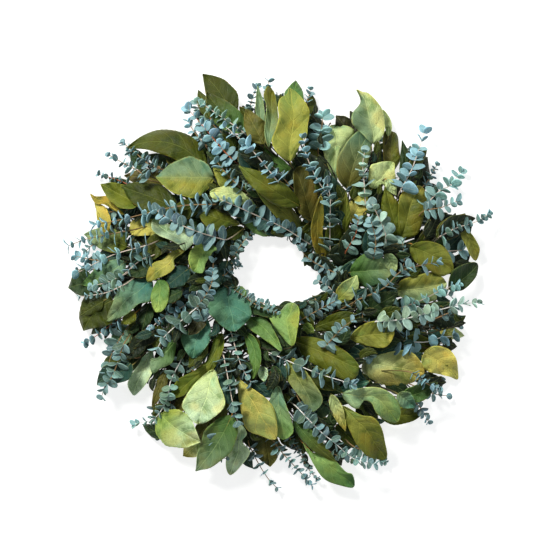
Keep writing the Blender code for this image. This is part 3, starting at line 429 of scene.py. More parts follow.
@dataclass(frozen=True)
class Fans:
    """The spiral shelves of the part's source, one above the other, that the sprays lie in."""

    bunches: int = 24
    ring_radius: float = 128.0
    rim_span: float = 142.0
    rise: float = 17.0
    rise_per_radius: float = 0.145
    base_height: float = 7.1
    rim_droop: float = 34.0
    root_ease: float = 0.3
    shelf_gap: float = 0.9
    lowest_foliage: float = 3.0
    lowest_sweep: float = 0.8
    tucked_sweep: float = 0.35
    tucked_foliage: float = 1.5
    tucked_share: float = 0.11
    clamp_sweep: float = 1.45
    clamp_reach: float = 22.0
    blade_level: float = 0.5

    @property
    def step(self) -> float:
        """The angle from one bunch to the next."""
        return TURN / self.bunches

    @property
    def places(self) -> int:
        """Places round the whole pile."""
        return 4 * self.bunches

    def rise_at(self, radius: Array | float) -> Array | float:
        """How far a fan climbs in one bunch step at a radius."""
        return np.minimum(self.rise, self.rise_per_radius * radius)

    def sagging(self, radius: Array | float) -> Array | float:
        """How far the shelf has dropped below its height at the ring."""
        return self.rim_droop * np.maximum(0.0, (radius - self.ring_radius) / self.rim_span) ** 2

    def sweep(self, x: Array | float, y: Array | float, fan: int) -> Array | float:
        """How far round from a fan's start a point lies, in bunch steps."""
        turned = (np.arctan2(y, x) - fan * self.step / 2 + TURN / 4) % TURN - TURN / 4
        return turned / self.step

    def height(self, x: Array | float, y: Array | float, fan: int,
               offset: Array | float = 0.0) -> Array | float:
        """The height of a fan above a point.

        Args:
            x, y: The point, seen from the front.
            fan: The fan, two to each bunch.
            offset: A share of the shelf's half height.

        Returns:
            The height above the plane that the wreath rests on.
        """
        radius = np.hypot(x, y)
        sweep = self.sweep(x, y, fan)
        low = (np.maximum(sweep, -self.root_ease) + self.root_ease) ** 2 / (4 * self.root_ease)
        level = np.where(sweep > self.root_ease, sweep, low)
        middle = self.base_height - self.sagging(radius) + self.rise_at(radius) * level
        return middle + offset * (self.rise_at(radius) / 4 - self.shelf_gap)

    def least_sweep(self, radius: float, tucked: bool) -> float:
        """The smallest sweep at which foliage clears the surface below and the clamps.

        Args:
            radius: The distance from the ring's middle.
            tucked: Whether it is hidden growth, which may lie closer to the surface.

        Returns:
            The sweep in bunch steps.
        """
        rise = float(self.rise_at(radius))
        if tucked:
            lowest = self.tucked_foliage + self.tucked_share * rise
        else:
            lowest = self.lowest_foliage + rise / 4
        clear = lowest - self.base_height + float(self.sagging(radius))
        sweep = max(self.tucked_sweep if tucked else self.lowest_sweep, clear / rise)
        near_clamp = abs(radius - self.ring_radius) < self.clamp_reach
        return max(sweep, self.clamp_sweep) if near_clamp else sweep

    def highest_place(self, x: float, y: float, around: float, tucked: bool = False) -> int:
        """The first place whose shelf clears the ground and the clamps at a point.

        Args:
            x, y: The point.
            around: The item's middle angle, which picks the turn.
            tucked: Whether the item is hidden growth.

        Returns:
            The place.
        """
        angle = around + (math.atan2(y, x) - around + TURN / 2) % TURN - TURN / 2
        return math.floor(4 * (angle / self.step - self.least_sweep(math.hypot(x, y), tucked)))

    def clamp_ways(self, bunch: int) -> tuple[Array, Array]:
        """The ways outwards and ahead along the ring at a bunch's clamp.

        Args:
            bunch: The bunch.

        Returns:
            Two level directions.
        """
        angle = (2 * bunch + 1) * self.step / 2
        out = np.array((math.cos(angle), math.sin(angle), 0.0))
        return out, np.array((-out[1], out[0], 0.0))


FANS = Fans()
# The side of a cell of the map that is seen from the front
CELL = 4.0
# The share of its cells that another item has to share with it to lie over or under it
COVERED = 0.08


# Items of the pile


def eased(grid: Array) -> Array:
    """A grid with each value lowered to its lowest neighbour, then blurred.

    Args:
        grid: Rows by columns.

    Returns:
        The eased grid, of the same shape.
    """
    for combine in (np.min, np.mean, np.mean):
        edged = np.pad(grid, 1, mode="edge")
        rows, columns = grid.shape
        grid = combine([edged[i : i + rows, j : j + columns] for i in range(3) for j in range(3)],
                       axis=0)
    return grid


@dataclass(eq=False)
class Item:
    """A leaf or sprig with its place in the pile and the room above and below it."""

    layer: int
    place: int = 0
    around: float = 0.0
    cells: set[Cell] = field(default_factory=set)
    above: dict[Cell, float] = field(default_factory=dict)
    below: dict[Cell, float] = field(default_factory=dict)
    proud: set[Cell] = field(default_factory=set)
    head: float = 15.0
    leg: float = 9.0

    @property
    def allowed(self) -> tuple[int, ...]:
        """The places within a bunch that the item may take."""
        return (2,)

    @property
    def bunch(self) -> int:
        """The bunch that the item belongs to."""
        return self.place // 4 % FANS.bunches

    @property
    def fan(self) -> int:
        """The fan that the item lies in."""
        return 2 * self.bunch + (1 if self.place % 4 == 2 else 0)

    @property
    def offset(self) -> float:
        """The item's level in its shelf."""
        return {0: FANS.blade_level, 1: -FANS.blade_level}.get(self.place % 4, 0.0)

    def samples(self) -> Iterator[Pair]:
        """Points spread over the item."""
        raise NotImplementedError

    def lay_out(self) -> None:
        """Work out the item's middle angle and the cells that it covers."""
        spots = list(self.samples())
        middle = np.mean(spots, axis=0)
        self.around = math.atan2(middle[1], middle[0])
        self.cells = {(round(x / CELL), round(y / CELL)) for x, y in spots}

    def shown(self) -> set[Cell]:
        """The cells that the item covers in its finished form."""
        return self.cells

    def fitted(self, plan: Array, rise: Array, share: float) -> Array:
        """Heights held back where another leaf or sprig lies close above or below.

        Args:
            plan: Points seen from the front, rows by columns by 2.
            rise: The heights wanted there above the item's shelf.
            share: The share of the gap to the neighbour that may be used.

        Returns:
            The heights, which near their limit grow ever more slowly.
        """
        spots = np.round(plan / CELL).astype(int)
        rooms = []
        for gaps, most in ((self.above, self.head), (self.below, self.leg)):
            room = np.array([[gaps.get(tuple(spot), most) for spot in row] for row in spots])
            rooms.append(np.maximum(0.5, share * eased(room) - 0.4))
        up, down = rooms
        return np.where(rise > 0, up * np.tanh(rise / up), down * np.tanh(rise / down))


@dataclass(eq=False)
class Leaf(Item):
    """A broad leaf as seen from the front."""

    base: Vector = field(default_factory=Vector)
    tip: Vector = field(default_factory=Vector)
    width: float = 30.0
    bow: float = 0.0
    tones: tuple[Tone, Tone] = (Tone.OLIVE, Tone.OLIVE)
    halved: bool = False
    number: int = 0
    rib_shares: Pair = (0.45, 0.55)

    @classmethod
    def from_row(cls, row: Sequence, number: int) -> Leaf:
        """A leaf from a row of the table.

        Args:
            row: The row. Its tone may turn to another, as in "te>mi" from base to tip, or as in
                "go|pa" from left to right of the midrib.
            number: The leaf's own number.

        Returns:
            The leaf.
        """
        bx, by, tx, ty, width, bow, layer, tone = row
        first, second = SALAL_TONES[tone[:2]], SALAL_TONES[tone[-2:]]
        return cls(layer, base=Vector((bx, by)), tip=Vector((tx, ty)), width=width, bow=bow,
                   tones=(first, second), halved="|" in tone, number=number)

    @property
    def allowed(self) -> tuple[int, ...]:
        """The places within a bunch that a broad leaf may take."""
        return (0, 1)

    @property
    def length(self) -> float:
        """From the blade's base to its tip."""
        return (self.tip - self.base).length

    @property
    def along(self) -> Vector:
        """The way from base to tip."""
        return (self.tip - self.base).normalized()

    @property
    def left(self) -> Vector:
        """The way to the blade's left."""
        return Vector((-self.along.y, self.along.x))

    def rib(self, t: float) -> Vector:
        """The midrib's point at t, from 0 at the base to 1 at the tip."""
        return self.base.lerp(self.tip, t) + self.left * self.bow * 4 * t * (1 - t)

    def half_width(self, t: float) -> float:
        """Half the blade's width at t."""
        return 0.5 * self.width * math.sin(math.pi * t**0.75) ** 0.8

    def edges(self, shares: Array) -> tuple[Array, Array, Array] | None:
        """The measured outline of a leaf that has one.

        Args:
            shares: Shares of the way from base to tip, n of them.

        Returns:
            The left edge, the midrib and the right edge, each n by 2, or nothing.
        """
        if self.layer < 0 or self.number not in OUTLINES:
            return None
        pixels = np.array(OUTLINES[self.number], float)
        corners = (pixels - MIDDLE_PIXEL) * (PIXEL, -PIXEL)
        first = int(np.argmin(np.linalg.norm(corners - np.array(self.base), axis=1)))
        corners = np.roll(corners, -first, axis=0)
        last = int(np.argmin(np.linalg.norm(corners - np.array(self.tip), axis=1)))
        one = smoothed(corners, 0, last, shares)
        two = smoothed(corners, len(corners), last, shares)
        base, tip = corners[0], corners[last]
        bowed = np.array(self.left) * self.bow * (4 * shares * (1 - shares))[:, None]
        rib = base + (tip - base) * shares[:, None] + bowed
        middle = (one + two) / 2
        rib = rib * self.rib_shares[0] + middle * self.rib_shares[1]
        turn = np.cross(tip - base, one.mean(axis=0) - base)
        return (one, rib, two) if turn > 0 else (two, rib, one)

    def shown(self) -> set[Cell]:
        """The cells within the measured outline of a leaf that has one.

        Returns:
            Those cells, or all that the plain form covers.
        """
        measured = self.edges(np.linspace(0.0, 1.0, max(4, round(2 * self.length / CELL))))
        if not measured:
            return self.cells
        one, _, two = measured
        shares = np.linspace(0.0, 1.0, max(4, round(2 * self.width / CELL)))
        spots = one[:, None] + (two - one)[:, None] * shares[None, :, None]
        return {tuple(cell) for cell in np.round(spots.reshape(-1, 2) / CELL).astype(int).tolist()}

    def samples(self) -> Iterator[Pair]:
        """Points spread over the blade, row by row.

        Returns:
            The points' x and y, one pair after another.
        """
        rows = max(3, round(self.length / CELL))
        sides = max(1, round(self.width / 2 / CELL))
        for row in range(rows + 1):
            t = row / rows
            reach = self.left * self.half_width(t) / sides
            for side in range(-sides, sides + 1):
                yield tuple(self.rib(t) + reach * side)


@dataclass(eq=False)
class Sprig(Item):
    """A leafy stem as seen from the front."""

    points: list[Vector] = field(default_factory=list)
    leaf: float = 15.0
    roundness: float = 0.6
    tone: Tone = Tone.GREY_TEAL
    stem: Tone = Tone.TAN_STEM
    number: int = 0

    @classmethod
    def from_row(cls, row: Sequence, number: int) -> Sprig:
        """A sprig from a row of the table.

        Args:
            row: The row.
            number: The sprig's own number.

        Returns:
            The sprig.
        """
        points, leaf, roundness, layer, tone, stem = row
        return cls(layer, points=[Vector(p) for p in points], leaf=leaf, roundness=roundness,
                   tone=SPRIG_TONES[tone], stem=STEM_TONES[stem], number=number)

    @property
    def base(self) -> Vector:
        """Where the leafy part starts."""
        return self.points[0]

    @property
    def length(self) -> float:
        """The length of the leafy part."""
        return sum((b - a).length for a, b in pairwise(self.points))

    def at(self, distance: float) -> tuple[Vector, Vector]:
        """The point and the direction at a distance along the smoothed route.

        Args:
            distance: How far from the base of the leafy part.

        Returns:
            The point and the way on from it, of length 1.
        """
        ends = [2 * self.points[0] - self.points[1], *self.points]
        ends.append(2 * self.points[-1] - self.points[-2])
        for i in range(1, len(ends) - 2):
            before, start, end, after = ends[i - 1 : i + 3]
            span = (end - start).length
            if distance <= span or i == len(ends) - 3:
                break
            distance -= span
        t = float(min(1.0, max(0.0, distance / span)))
        leave, arrive = (end - before) / 2, (after - start) / 2
        spot = (2 * t**3 - 3 * t**2 + 1) * start + (t**3 - 2 * t**2 + t) * leave
        spot += (3 * t**2 - 2 * t**3) * end + (t**3 - t**2) * arrive
        way = (6 * t**2 - 6 * t) * (start - end) + (3 * t**2 - 4 * t + 1) * leave
        way += (3 * t**2 - 2 * t) * arrive
        return spot, way.normalized()

    def samples(self) -> Iterator[Pair]:
        """Points spread over the leaves, from the base on.

        Returns:
            The points' x and y, one pair after another.
        """
        steps = max(3, round(self.length / CELL))
        for step in range(steps + 1):
            spot, way = self.at(self.length * step / steps)
            left = Vector((-way.y, way.x))
            for side in (-0.8, -0.4, 0.0, 0.4, 0.8):
                yield tuple(spot + left * side * self.leaf)


# The pile


@dataclass
class Pile:
    """Which shelf each item lies on. Places count down as shelves go up.

    Nothing hidden grows in the clear circles, each given by its middle and radius, or in the
    opening, which is given from west to east and from south to north.
    """

    hole_middle: Pair = (-13.0, 15.0)
    clear: tuple[Triple, ...] = (
        (-13, 15, 45), (26, -4, 24), (70, 227, 22), (-53, 246, 20), (-128, 203, 14),
        (242, -26, 18), (153, -200, 20), (-180, -154, 15), (-240, -86, 12), (14, -242, 16),
        (224, 100, 12),
    )
    body_radius: float = 242.0
    opening: tuple[Pair, Pair] = ((-42.0, 12.0), (-15.0, 55.0))
    covered_share: float = 0.84
    sprig_cover: float = 0.3
    tucked_cover: float = 0.6
    levels: int = 13
    lid_gap: float = 1.5
    laid: list[Item] = field(default_factory=list)
    cover: dict[Cell, float] = field(default_factory=dict)
    index: dict[Cell, list[int]] = field(default_factory=dict)

    def settle(self, item: Item) -> None:
        """Lay an item over the lower layers that it covers.

        Args:
            item: The leaf or sprig.
        """
        item.lay_out()
        place = min(FANS.highest_place(x, y, item.around) for x, y in item.samples())
        taken = set()
        for other in self.laid:
            shared = len(item.cells & other.cells)
            if shared < COVERED * min(len(item.cells), len(other.cells)):
                continue
            turned = other.place + FANS.places * round((item.around - other.around) / TURN)
            if other.layer < item.layer:
                place = min(place, turned - 1)
            else:
                taken.add(turned)
        while place % 4 not in item.allowed or place in taken:
            place -= 1
        item.place = place
        self.laid.append(item)

    def show(self) -> None:
        """Note what the items laid so far cover in their finished form."""
        for item in self.laid:
            item.cells = item.shown()
            self.note_cover(item)

    def height_over(self, item: Item, cells: set[Cell]) -> float:
        """The item's height in the middle of some cells."""
        x, y = np.mean(list(cells), axis=0) * CELL
        return float(FANS.height(x, y, item.fan, item.offset))

    def cleared(self, spots: Array) -> Array:
        """Whether points lie in the hole or in a notch of the rim, where nothing may grow."""
        return np.any([np.hypot(*(spots - (x, y)).T) < r for x, y, r in self.clear], axis=0)

    def wanted(self, item: Item, least_bare: float) -> bool:
        """Whether hidden growth lies over a gap and within the wreath's body.

        Args:
            item: The leaf or sprig.
            least_bare: The least share of its cells that must lie over a gap.

        Returns:
            Whether it does.
        """
        item.lay_out()
        count = len(item.cells)
        bare = sum(self.cover.get(cell, 0.0) < 1.0 for cell in item.cells)
        if bare < least_bare * count:
            return False
        spots = np.array(list(item.cells)) * CELL
        if self.cleared(spots).any():
            return False
        (west, east), (south, north) = self.opening
        x, y = spots.T
        if ((x > west) & (x < east) & (y > south) & (y < north)).any():
            return False
        within = np.linalg.norm(spots, axis=1) < self.body_radius
        inside = sum(near or cell in self.cover
                     for near, cell in zip(within, item.cells, strict=True))
        return inside >= self.covered_share * count

    def tuck(self, item: Item, most_spill: float) -> bool:
        """Lay an item as low as there is room for it below those that are laid.

        Args:
            item: The leaf or sprig.
            most_spill: The largest share of its cells that may lie over seen items.

        Returns:
            Whether it was laid.
        """
        item.lay_out()
        count = len(item.cells)
        meets: dict[int, set[Cell]] = {}
        for cell in item.cells:
            for number in self.index.get(cell, ()):
                meets.setdefault(number, set()).add(cell)
        lids, taken = [], set()
        for number, shared in meets.items():
            other = self.laid[number]
            taken.add(other.place + FANS.places * round((item.around - other.around) / TURN))
            if other.layer >= 0:
                lids.append((shared, self.height_over(other, shared) - self.lid_gap))
        lowest = min(FANS.highest_place(x, y, item.around, True) for x, y in item.samples())
        for item.place in range(lowest, lowest - self.levels, -1):
            if item.place % 4 not in item.allowed or item.place in taken:
                continue
            over = sum(len(shared) for shared, lid in lids if self.height_over(item, shared) > lid)
            if over <= most_spill * count:
                self.laid.append(item)
                self.note_cover(item)
                return True
        return False

    def note_cover(self, item: Item) -> None:
        """Add what an item hides to the cover of its cells.

        Args:
            item: The leaf or sprig.
        """
        hidden = self.sprig_cover
        if isinstance(item, Leaf):
            hidden = 1.0 if item.layer >= 0 else self.tucked_cover
        number = self.laid.index(item)
        for cell in item.cells:
            self.cover[cell] = self.cover.get(cell, 0.0) + hidden
            self.index.setdefault(cell, []).append(number)

    def gaps(self) -> list[Cell]:
        """The cells of the body that little or nothing covers.

        Returns:
            Their numbers, column by column.
        """
        reach = math.ceil(self.body_radius / CELL)
        found = []
        for x in range(-reach, reach + 1):
            for y in range(-reach, reach + 1):
                spot = np.array((x, y)) * CELL
                if np.linalg.norm(spot) < self.body_radius and not self.cleared(spot[None])[0]:
                    if self.cover.get((x, y), 0.0) < 1.0:
                        found.append((x, y))
        return found

    def measure_room(self) -> None:
        """Note for each item, cell by cell, the height that is free above it and below it.

        Cells where hidden growth stands over a seen broad leaf are noted as proud.
        """
        for i, item in enumerate(self.laid):
            for other in self.laid[:i]:
                shared = list(item.cells & other.cells)
                if not shared:
                    continue
                x, y = np.array(shared).T * CELL
                gaps = (FANS.height(x, y, other.fan, other.offset)
                        - FANS.height(x, y, item.fan, item.offset))
                for cell, gap in zip(shared, gaps, strict=True):
                    low, high = (item, other) if gap > 0 else (other, item)
                    low.above[cell] = min(abs(gap), low.above.get(cell, low.head))
                    high.below[cell] = min(abs(gap), high.below.get(cell, high.leg))
                    if high.layer < 0 <= low.layer and isinstance(low, Leaf):
                        high.proud.add(cell)


# Meshes


@dataclass
class Grown:
    """A growing mesh with its colour and place data."""

    name: str
    points: list[Array] = field(default_factory=list)
    faces: list[Array] = field(default_factory=list)
    flat: list[Array] = field(default_factory=list)
    slots: list[Array] = field(default_factory=list)
    tones: list[Array] = field(default_factory=list)
    blades: list[Array] = field(default_factory=list)
    spans: list[Array] = field(default_factory=list)
    count: int = 0

    def add(self, points: Array, quads: Array, tone: Array, blade: Array, span: Array,
            flat: Array | bool = False, slot: int = 0) -> None:
        """Add a block of points and four-cornered faces.

        Args:
            points: Places in millimetres, n by 3.
            quads: Corner numbers, m by 4.
            tone: Linear colours, n by 3 or one of them.
            blade: Across from -1 to 1, along from 0 to 1, and the leaf's own random number.
            span: Across and along in millimetres, and 1 on an underside.
            flat: Which faces have no smooth shading.
            slot: The material slot.
        """
        n, m = len(points), len(quads)
        self.points.append(points)
        self.faces.append(quads + self.count)
        self.flat.append(np.broadcast_to(flat, m))
        self.slots.append(np.full(m, slot, np.int32))
        self.tones.append(np.broadcast_to(tone, (n, 3)))
        self.blades.append(np.broadcast_to(blade, (n, 3)))
        self.spans.append(np.broadcast_to(span, (n, 3)))
        self.count += n

    def finished(self, materials: Sequence[bpy.types.Material]) -> bpy.types.Object:
        """The blocks as one Blender object.

        Args:
            materials: Its material slots.

        Returns:
            The object, linked to the scene.
        """
        points = np.concatenate(self.points) * MM
        quads = np.concatenate(self.faces).astype(np.int32)
        mesh = bpy.data.meshes.new(self.name)
        mesh.vertices.add(len(points))
        mesh.vertices.foreach_set("co", points.astype(np.float32).ravel())
        mesh.loops.add(quads.size)
        mesh.loops.foreach_set("vertex_index", quads.ravel())
        mesh.polygons.add(len(quads))
        mesh.polygons.foreach_set("loop_start", np.arange(0, quads.size, 4, dtype=np.int32))
        mesh.polygons.foreach_set("material_index", np.concatenate(self.slots))
        smooth = ~np.concatenate(self.flat)
        for name, kind, values in (("tone", "FLOAT_COLOR", self.tones),
                                   ("blade", "FLOAT_VECTOR", self.blades),
                                   ("span", "FLOAT_VECTOR", self.spans)):
            data = np.concatenate(values).astype(np.float32)
            attribute = mesh.attributes.new(name, kind, "POINT")
            if kind == "FLOAT_COLOR":
                data = np.column_stack([data, np.ones(len(data), np.float32)])
                attribute.data.foreach_set("color", data.ravel())
            else:
                attribute.data.foreach_set("vector", data.ravel())
        mesh.update(calc_edges=True)
        mesh.validate()
        mesh.polygons.foreach_set("use_smooth", smooth)
        for material in materials:
            mesh.materials.append(material)
        made = bpy.data.objects.new(self.name, mesh)
        bpy.context.scene.collection.objects.link(made)
        return made


def grid_quads(rows: int, columns: int) -> Array:
    """The faces of a grid of points numbered row by row."""
    start = (np.arange(rows - 1)[:, None] * columns + np.arange(columns - 1)).ravel()
    return np.stack([start, start + 1, start + columns + 1, start + columns], axis=1)


def unit(vectors: Array) -> Array:
    """Vectors with their length made 1."""
    return vectors / np.maximum(np.linalg.norm(vectors, axis=-1, keepdims=True), 1e-9)


def add_blade(mesh: Grown, surface: Array, thickness: float, tone: Array, blade: Array,
              span: Array) -> None:
    """Add a thin closed blade over a grid of points, in the first material slot.

    Args:
        mesh: What to add it to.
        surface: Its middle surface, rows by columns by 3.
        thickness: In millimetres.
        tone: Linear colours, rows by columns by 3 or one of them.
        blade: The blade data of each point.
        span: The span data of each point.
    """
    rows, columns = surface.shape[:2]
    normal = unit(np.cross(np.gradient(surface, axis=0), np.gradient(surface, axis=1)))
    top = (surface + normal * thickness / 2).reshape(-1, 3)
    low = (surface - normal * thickness / 2).reshape(-1, 3)
    n = rows * columns
    quads = grid_quads(rows, columns)[:, ::-1]
    rim = np.concatenate([np.arange(columns), np.arange(1, rows) * columns + columns - 1,
                          np.arange(columns - 2, -1, -1) + (rows - 1) * columns,
                          np.arange(rows - 2, -1, -1) * columns])
    edge = np.stack([rim[:-1], rim[1:], rim[1:] + n, rim[:-1] + n], axis=1)
    faces = np.concatenate([quads, quads[:, ::-1] + n, edge])
    flat = np.zeros(len(faces), bool)
    flat[2 * len(quads) :] = True
    tones = np.broadcast_to(tone, (rows, columns, 3)).reshape(-1, 3)
    blades, spans = blade.reshape(-1, 3), span.reshape(-1, 3)
    mesh.add(np.concatenate([top, low]), faces, np.concatenate([tones, tones]),
             np.concatenate([blades, blades]), np.concatenate([spans, spans + UP]), flat)


def leaf_data(u: Array, t: Array, own: float, reach: Array, length: float) -> tuple[Array, Array]:
    """The blade and span data of a leaf's grid of points.

    Args:
        u: Across from -1 to 1, one for each column.
        t: Along from 0 to 1, one for each row.
        own: The leaf's own random number.
        reach: Across in millimetres, rows by columns.
        length: The leaf's length.

    Returns:
        Both, rows by columns by 3.
    """
    shape = reach.shape
    along = np.broadcast_to(t[:, None], shape)
    blade = np.dstack([np.broadcast_to(u, shape), along, np.full(shape, own)])
    return blade, np.dstack([reach, along * length, np.zeros(shape)])


def add_tube(mesh: Grown, path: Array, radii: Array, tone: Tone | Array, sides: int = 6,
             closed: bool = False, slot: int = 1, seed: float = 0.0) -> None:
    """Add a closed tube along a path.

    Args:
        mesh: What to add it to.
        path: Points, n by 3.
        radii: The radius at each point, or one radius.
        tone: Its colour.
        sides: How many sides it has.
        closed: Whether the path closes on itself.
        slot: The material slot.
        seed: The tube's own random number.
    """
    count = len(path)
    radii = np.broadcast_to(radii, count)
    if closed:
        way = np.roll(path, -1, axis=0) - np.roll(path, 1, axis=0)
    else:
        way = np.gradient(path, axis=0)
    way = unit(way)
    across = np.cross(way, UP)
    steep = np.linalg.norm(across, axis=1) < 0.05
    across[steep] = np.cross(way[steep], (0.3, 1.0, 0.0))
    across = unit(across)
    for i in range(1, count):
        if across[i] @ across[i - 1] < 0:
            across[i] = -across[i]
    rise = np.cross(across, way)
    turns = TURN * np.arange(sides) / sides
    spokes = (across[:, None] * np.cos(turns)[None, :, None]
              + rise[:, None] * np.sin(turns)[None, :, None])
    rings = path[:, None] + spokes * radii[:, None, None]
    points = rings.reshape(-1, 3)
    ahead = np.arange(count if closed else count - 1)
    side = np.arange(sides)
    near = ahead[:, None] * sides
    far = ((ahead + 1) % count)[:, None] * sides
    other = (side + 1) % sides
    quads = np.stack([near + side, far + side, far + other, near + other], axis=-1).reshape(-1, 4)
    flat = np.zeros(len(quads), bool)
    if not closed:
        caps = []
        for ring, turned in ((0, False), (count - 1, True)):
            centre = len(points)
            points = np.vstack([points, path[ring]])
            for i in range(0, sides, 2):
                corner = [centre, ring * sides + i, ring * sides + (i + 1) % sides,
                          ring * sides + (i + 2) % sides]
                caps.append(corner[::-1] if turned else corner)
        quads = np.vstack([quads, caps])
        flat = np.concatenate([flat, np.ones(len(caps), bool)])
    colour = np.array(tone.value if isinstance(tone, Tone) else tone)
    if colour.ndim == 2:
        ends = colour[[0, -1]] if len(points) > count * sides else colour[:0]
        colour = np.vstack([np.repeat(colour, sides, axis=0), ends])
    length = np.concatenate([[0.0], np.cumsum(np.linalg.norm(np.diff(path, axis=0), axis=1))])
    span = np.zeros((len(points), 3))
    span[: count * sides, 0] = np.tile(turns, count)
    span[: count * sides, 1] = np.repeat(length, sides)
    blade = np.array((0.0, 0.5, seed))
    mesh.add(points, quads, colour, blade, span, flat, slot)


# Shader maths


@dataclass(frozen=True)
class Value:
    """A number in a node tree, with Python's operators as Math nodes."""

    nodes: Nodes
    socket: Socket

    def math(self, operation: str, *others: Value | float) -> Value:
        """This number and others through one Math node.

        Args:
            operation: What the node works out.
            others: Its further numbers.

        Returns:
            The result.
        """
        values = {i: v for i, v in enumerate((self, *others))}
        made = self.nodes.node("ShaderNodeMath", {"operation": operation}, values)
        return Value(self.nodes, made.outputs[0])

    def __add__(self, other: Value | float) -> Value:
        """The sum."""
        return self.math("ADD", other)

    __radd__ = __add__

    def __sub__(self, other: Value | float) -> Value:
        """The difference."""
        return self.math("SUBTRACT", other)

    def __rsub__(self, other: float) -> Value:
        """A plain number less this one."""
        flipped = self.nodes.node("ShaderNodeMath", {"operation": "SUBTRACT"}, {0: other, 1: self})
        return Value(self.nodes, flipped.outputs[0])

    def __mul__(self, other: Value | float) -> Value:
        """The product."""
        return self.math("MULTIPLY", other)

    __rmul__ = __mul__

    def __truediv__(self, other: Value | float) -> Value:
        """The quotient."""
        return self.math("DIVIDE", other)

    def __pow__(self, other: Value | float) -> Value:
        """The power."""
        return self.math("POWER", other)

    def __abs__(self) -> Value:
        """The size without its sign."""
        return self.math("ABSOLUTE")

    def fraction(self) -> Value:
        """What is left past the whole number."""
        return self.math("FRACT")

    def smooth(self, low: float, high: float) -> Value:
        """From 0 below low to 1 above high, smoothly, or the other way where low is above high."""
        made = self.nodes.node("ShaderNodeMapRange", {"interpolation_type": "SMOOTHSTEP"},
                               {0: self, 1: low, 2: high, 3: 0.0, 4: 1.0})
        return Value(self.nodes, made.outputs[0])


class Nodes:
    """A material's node tree, with one way to add any node."""

    def __init__(self, name: str) -> None:
        """Start a material with only its shader and output.

        Args:
            name: The material's name.
        """
        self.material = bpy.data.materials.new(name)
        self.material.use_nodes = True
        self.tree = self.material.node_tree
        self.shader = self.tree.nodes["Principled BSDF"]

    def node(self, kind: str, settings: dict[str, Setting] | None = None,
             sockets: dict[int | str, Value | Socket | Setting] | None = None) -> bpy.types.Node:
        """Add a node.

        Args:
            kind: Its type.
            settings: Its own settings, set first.
            sockets: Values or links of its inputs, by name or number.

        Returns:
            The node.
        """
        made = self.tree.nodes.new(kind)
        for name, setting in (settings or {}).items():
            setattr(made, name, setting)
        for key, value in (sockets or {}).items():
            self.feed(made.inputs[key], value)
        return made

    def feed(self, socket: Socket, value: Value | Socket | Setting) -> None:
        """Link a socket to a value, or set it.

        Args:
            socket: The input.
            value: What it takes, where a colour may come without its fourth number.
        """
        if isinstance(value, Value):
            value = value.socket
        if isinstance(value, bpy.types.NodeSocket):
            self.tree.links.new(value, socket)
        elif isinstance(value, tuple) and len(value) == 3 and socket.type == "RGBA":
            socket.default_value = (*value, 1.0)
        else:
            socket.default_value = value

    def attribute(self, name: str) -> bpy.types.Node:
        """A mesh attribute."""
        return self.node("ShaderNodeAttribute", {"attribute_name": name})

    def parts(self, vector: Socket) -> tuple[Value, Value, Value]:
        """The three numbers of a vector."""
        made = self.node("ShaderNodeSeparateXYZ", None, {0: vector})
        return tuple(Value(self, out) for out in made.outputs)

    def joined(self, *numbers: Value | float) -> Socket:
        """A vector made of three numbers."""
        return self.node("ShaderNodeCombineXYZ", None, dict(enumerate(numbers))).outputs[0]

    def position(self) -> Socket:
        """The point's place in the scene."""
        return self.node("ShaderNodeNewGeometry").outputs["Position"]

    def noise(self, place: Socket, scale: float, detail: float = 3.0, rough: float = 0.5) -> Value:
        """Cloudy noise from 0 to 1.

        Args:
            place: Where it is read.
            scale: How many clouds there are to a unit of length.
            detail: How many finer layers it has.
            rough: How strong the finer layers are.

        Returns:
            The noise.
        """
        made = self.node("ShaderNodeTexNoise", None, {"Vector": place, "Scale": scale,
                                                      "Detail": detail, "Roughness": rough})
        return Value(self, made.outputs[0])

    def cell_edges(self, place: Socket, scale: float) -> Value:
        """The distance to the nearest edge between scattered cells."""
        made = self.node("ShaderNodeTexVoronoi", {"feature": "DISTANCE_TO_EDGE"},
                         {"Vector": place, "Scale": scale})
        return Value(self, made.outputs[0])

    def mix(self, amount: Value | float, first: Socket | Triple, second: Socket | Triple,
            blend: str = "MIX") -> Socket:
        """Two colours mixed by an amount.

        Args:
            amount: How much of the second shows.
            first: The first colour.
            second: The second colour.
            blend: How they are blended.

        Returns:
            The mixed colour.
        """
        made = self.node("ShaderNodeMix", {"data_type": "RGBA", "blend_type": blend},
                         {0: amount, 6: first, 7: second})
        return made.outputs[2]

    def scaled(self, colour: Socket, factors: Triple) -> Socket:
        """A colour with its red, green and blue each times a factor."""
        return self.mix(1.0, colour, factors, "MULTIPLY")

    def coated(self, colour: Socket, *coats: tuple[Value, Socket | Triple]) -> Socket:
        """A colour with others laid over it in turn.

        Args:
            colour: The colour below.
            coats: For each coat how much of it shows, and its colour.

        Returns:
            The colour with all its coats.
        """
        for amount, coat in coats:
            colour = self.mix(amount, colour, coat)
        return colour

    def bump(self, height: Value, distance: float, strength: float) -> Socket:
        """A surface normal bent by a height.

        Args:
            height: The height, as a share of the distance.
            distance: The height of a full share in metres.
            strength: How much of the bend shows.

        Returns:
            The normal.
        """
        made = self.node("ShaderNodeBump", None, {"Strength": strength, "Distance": distance,
                                                  "Height": height})
        return made.outputs[0]

    def dress(self, **sockets: Value | Socket | Setting) -> bpy.types.Material:
        """Feed the shader.

        Args:
            sockets: Its inputs, with names such as Base_Color.

        Returns:
            The material.
        """
        for name, value in sockets.items():
            self.feed(self.shader.inputs[name.replace("_", " ")], value)
        return self.material


# Finishes


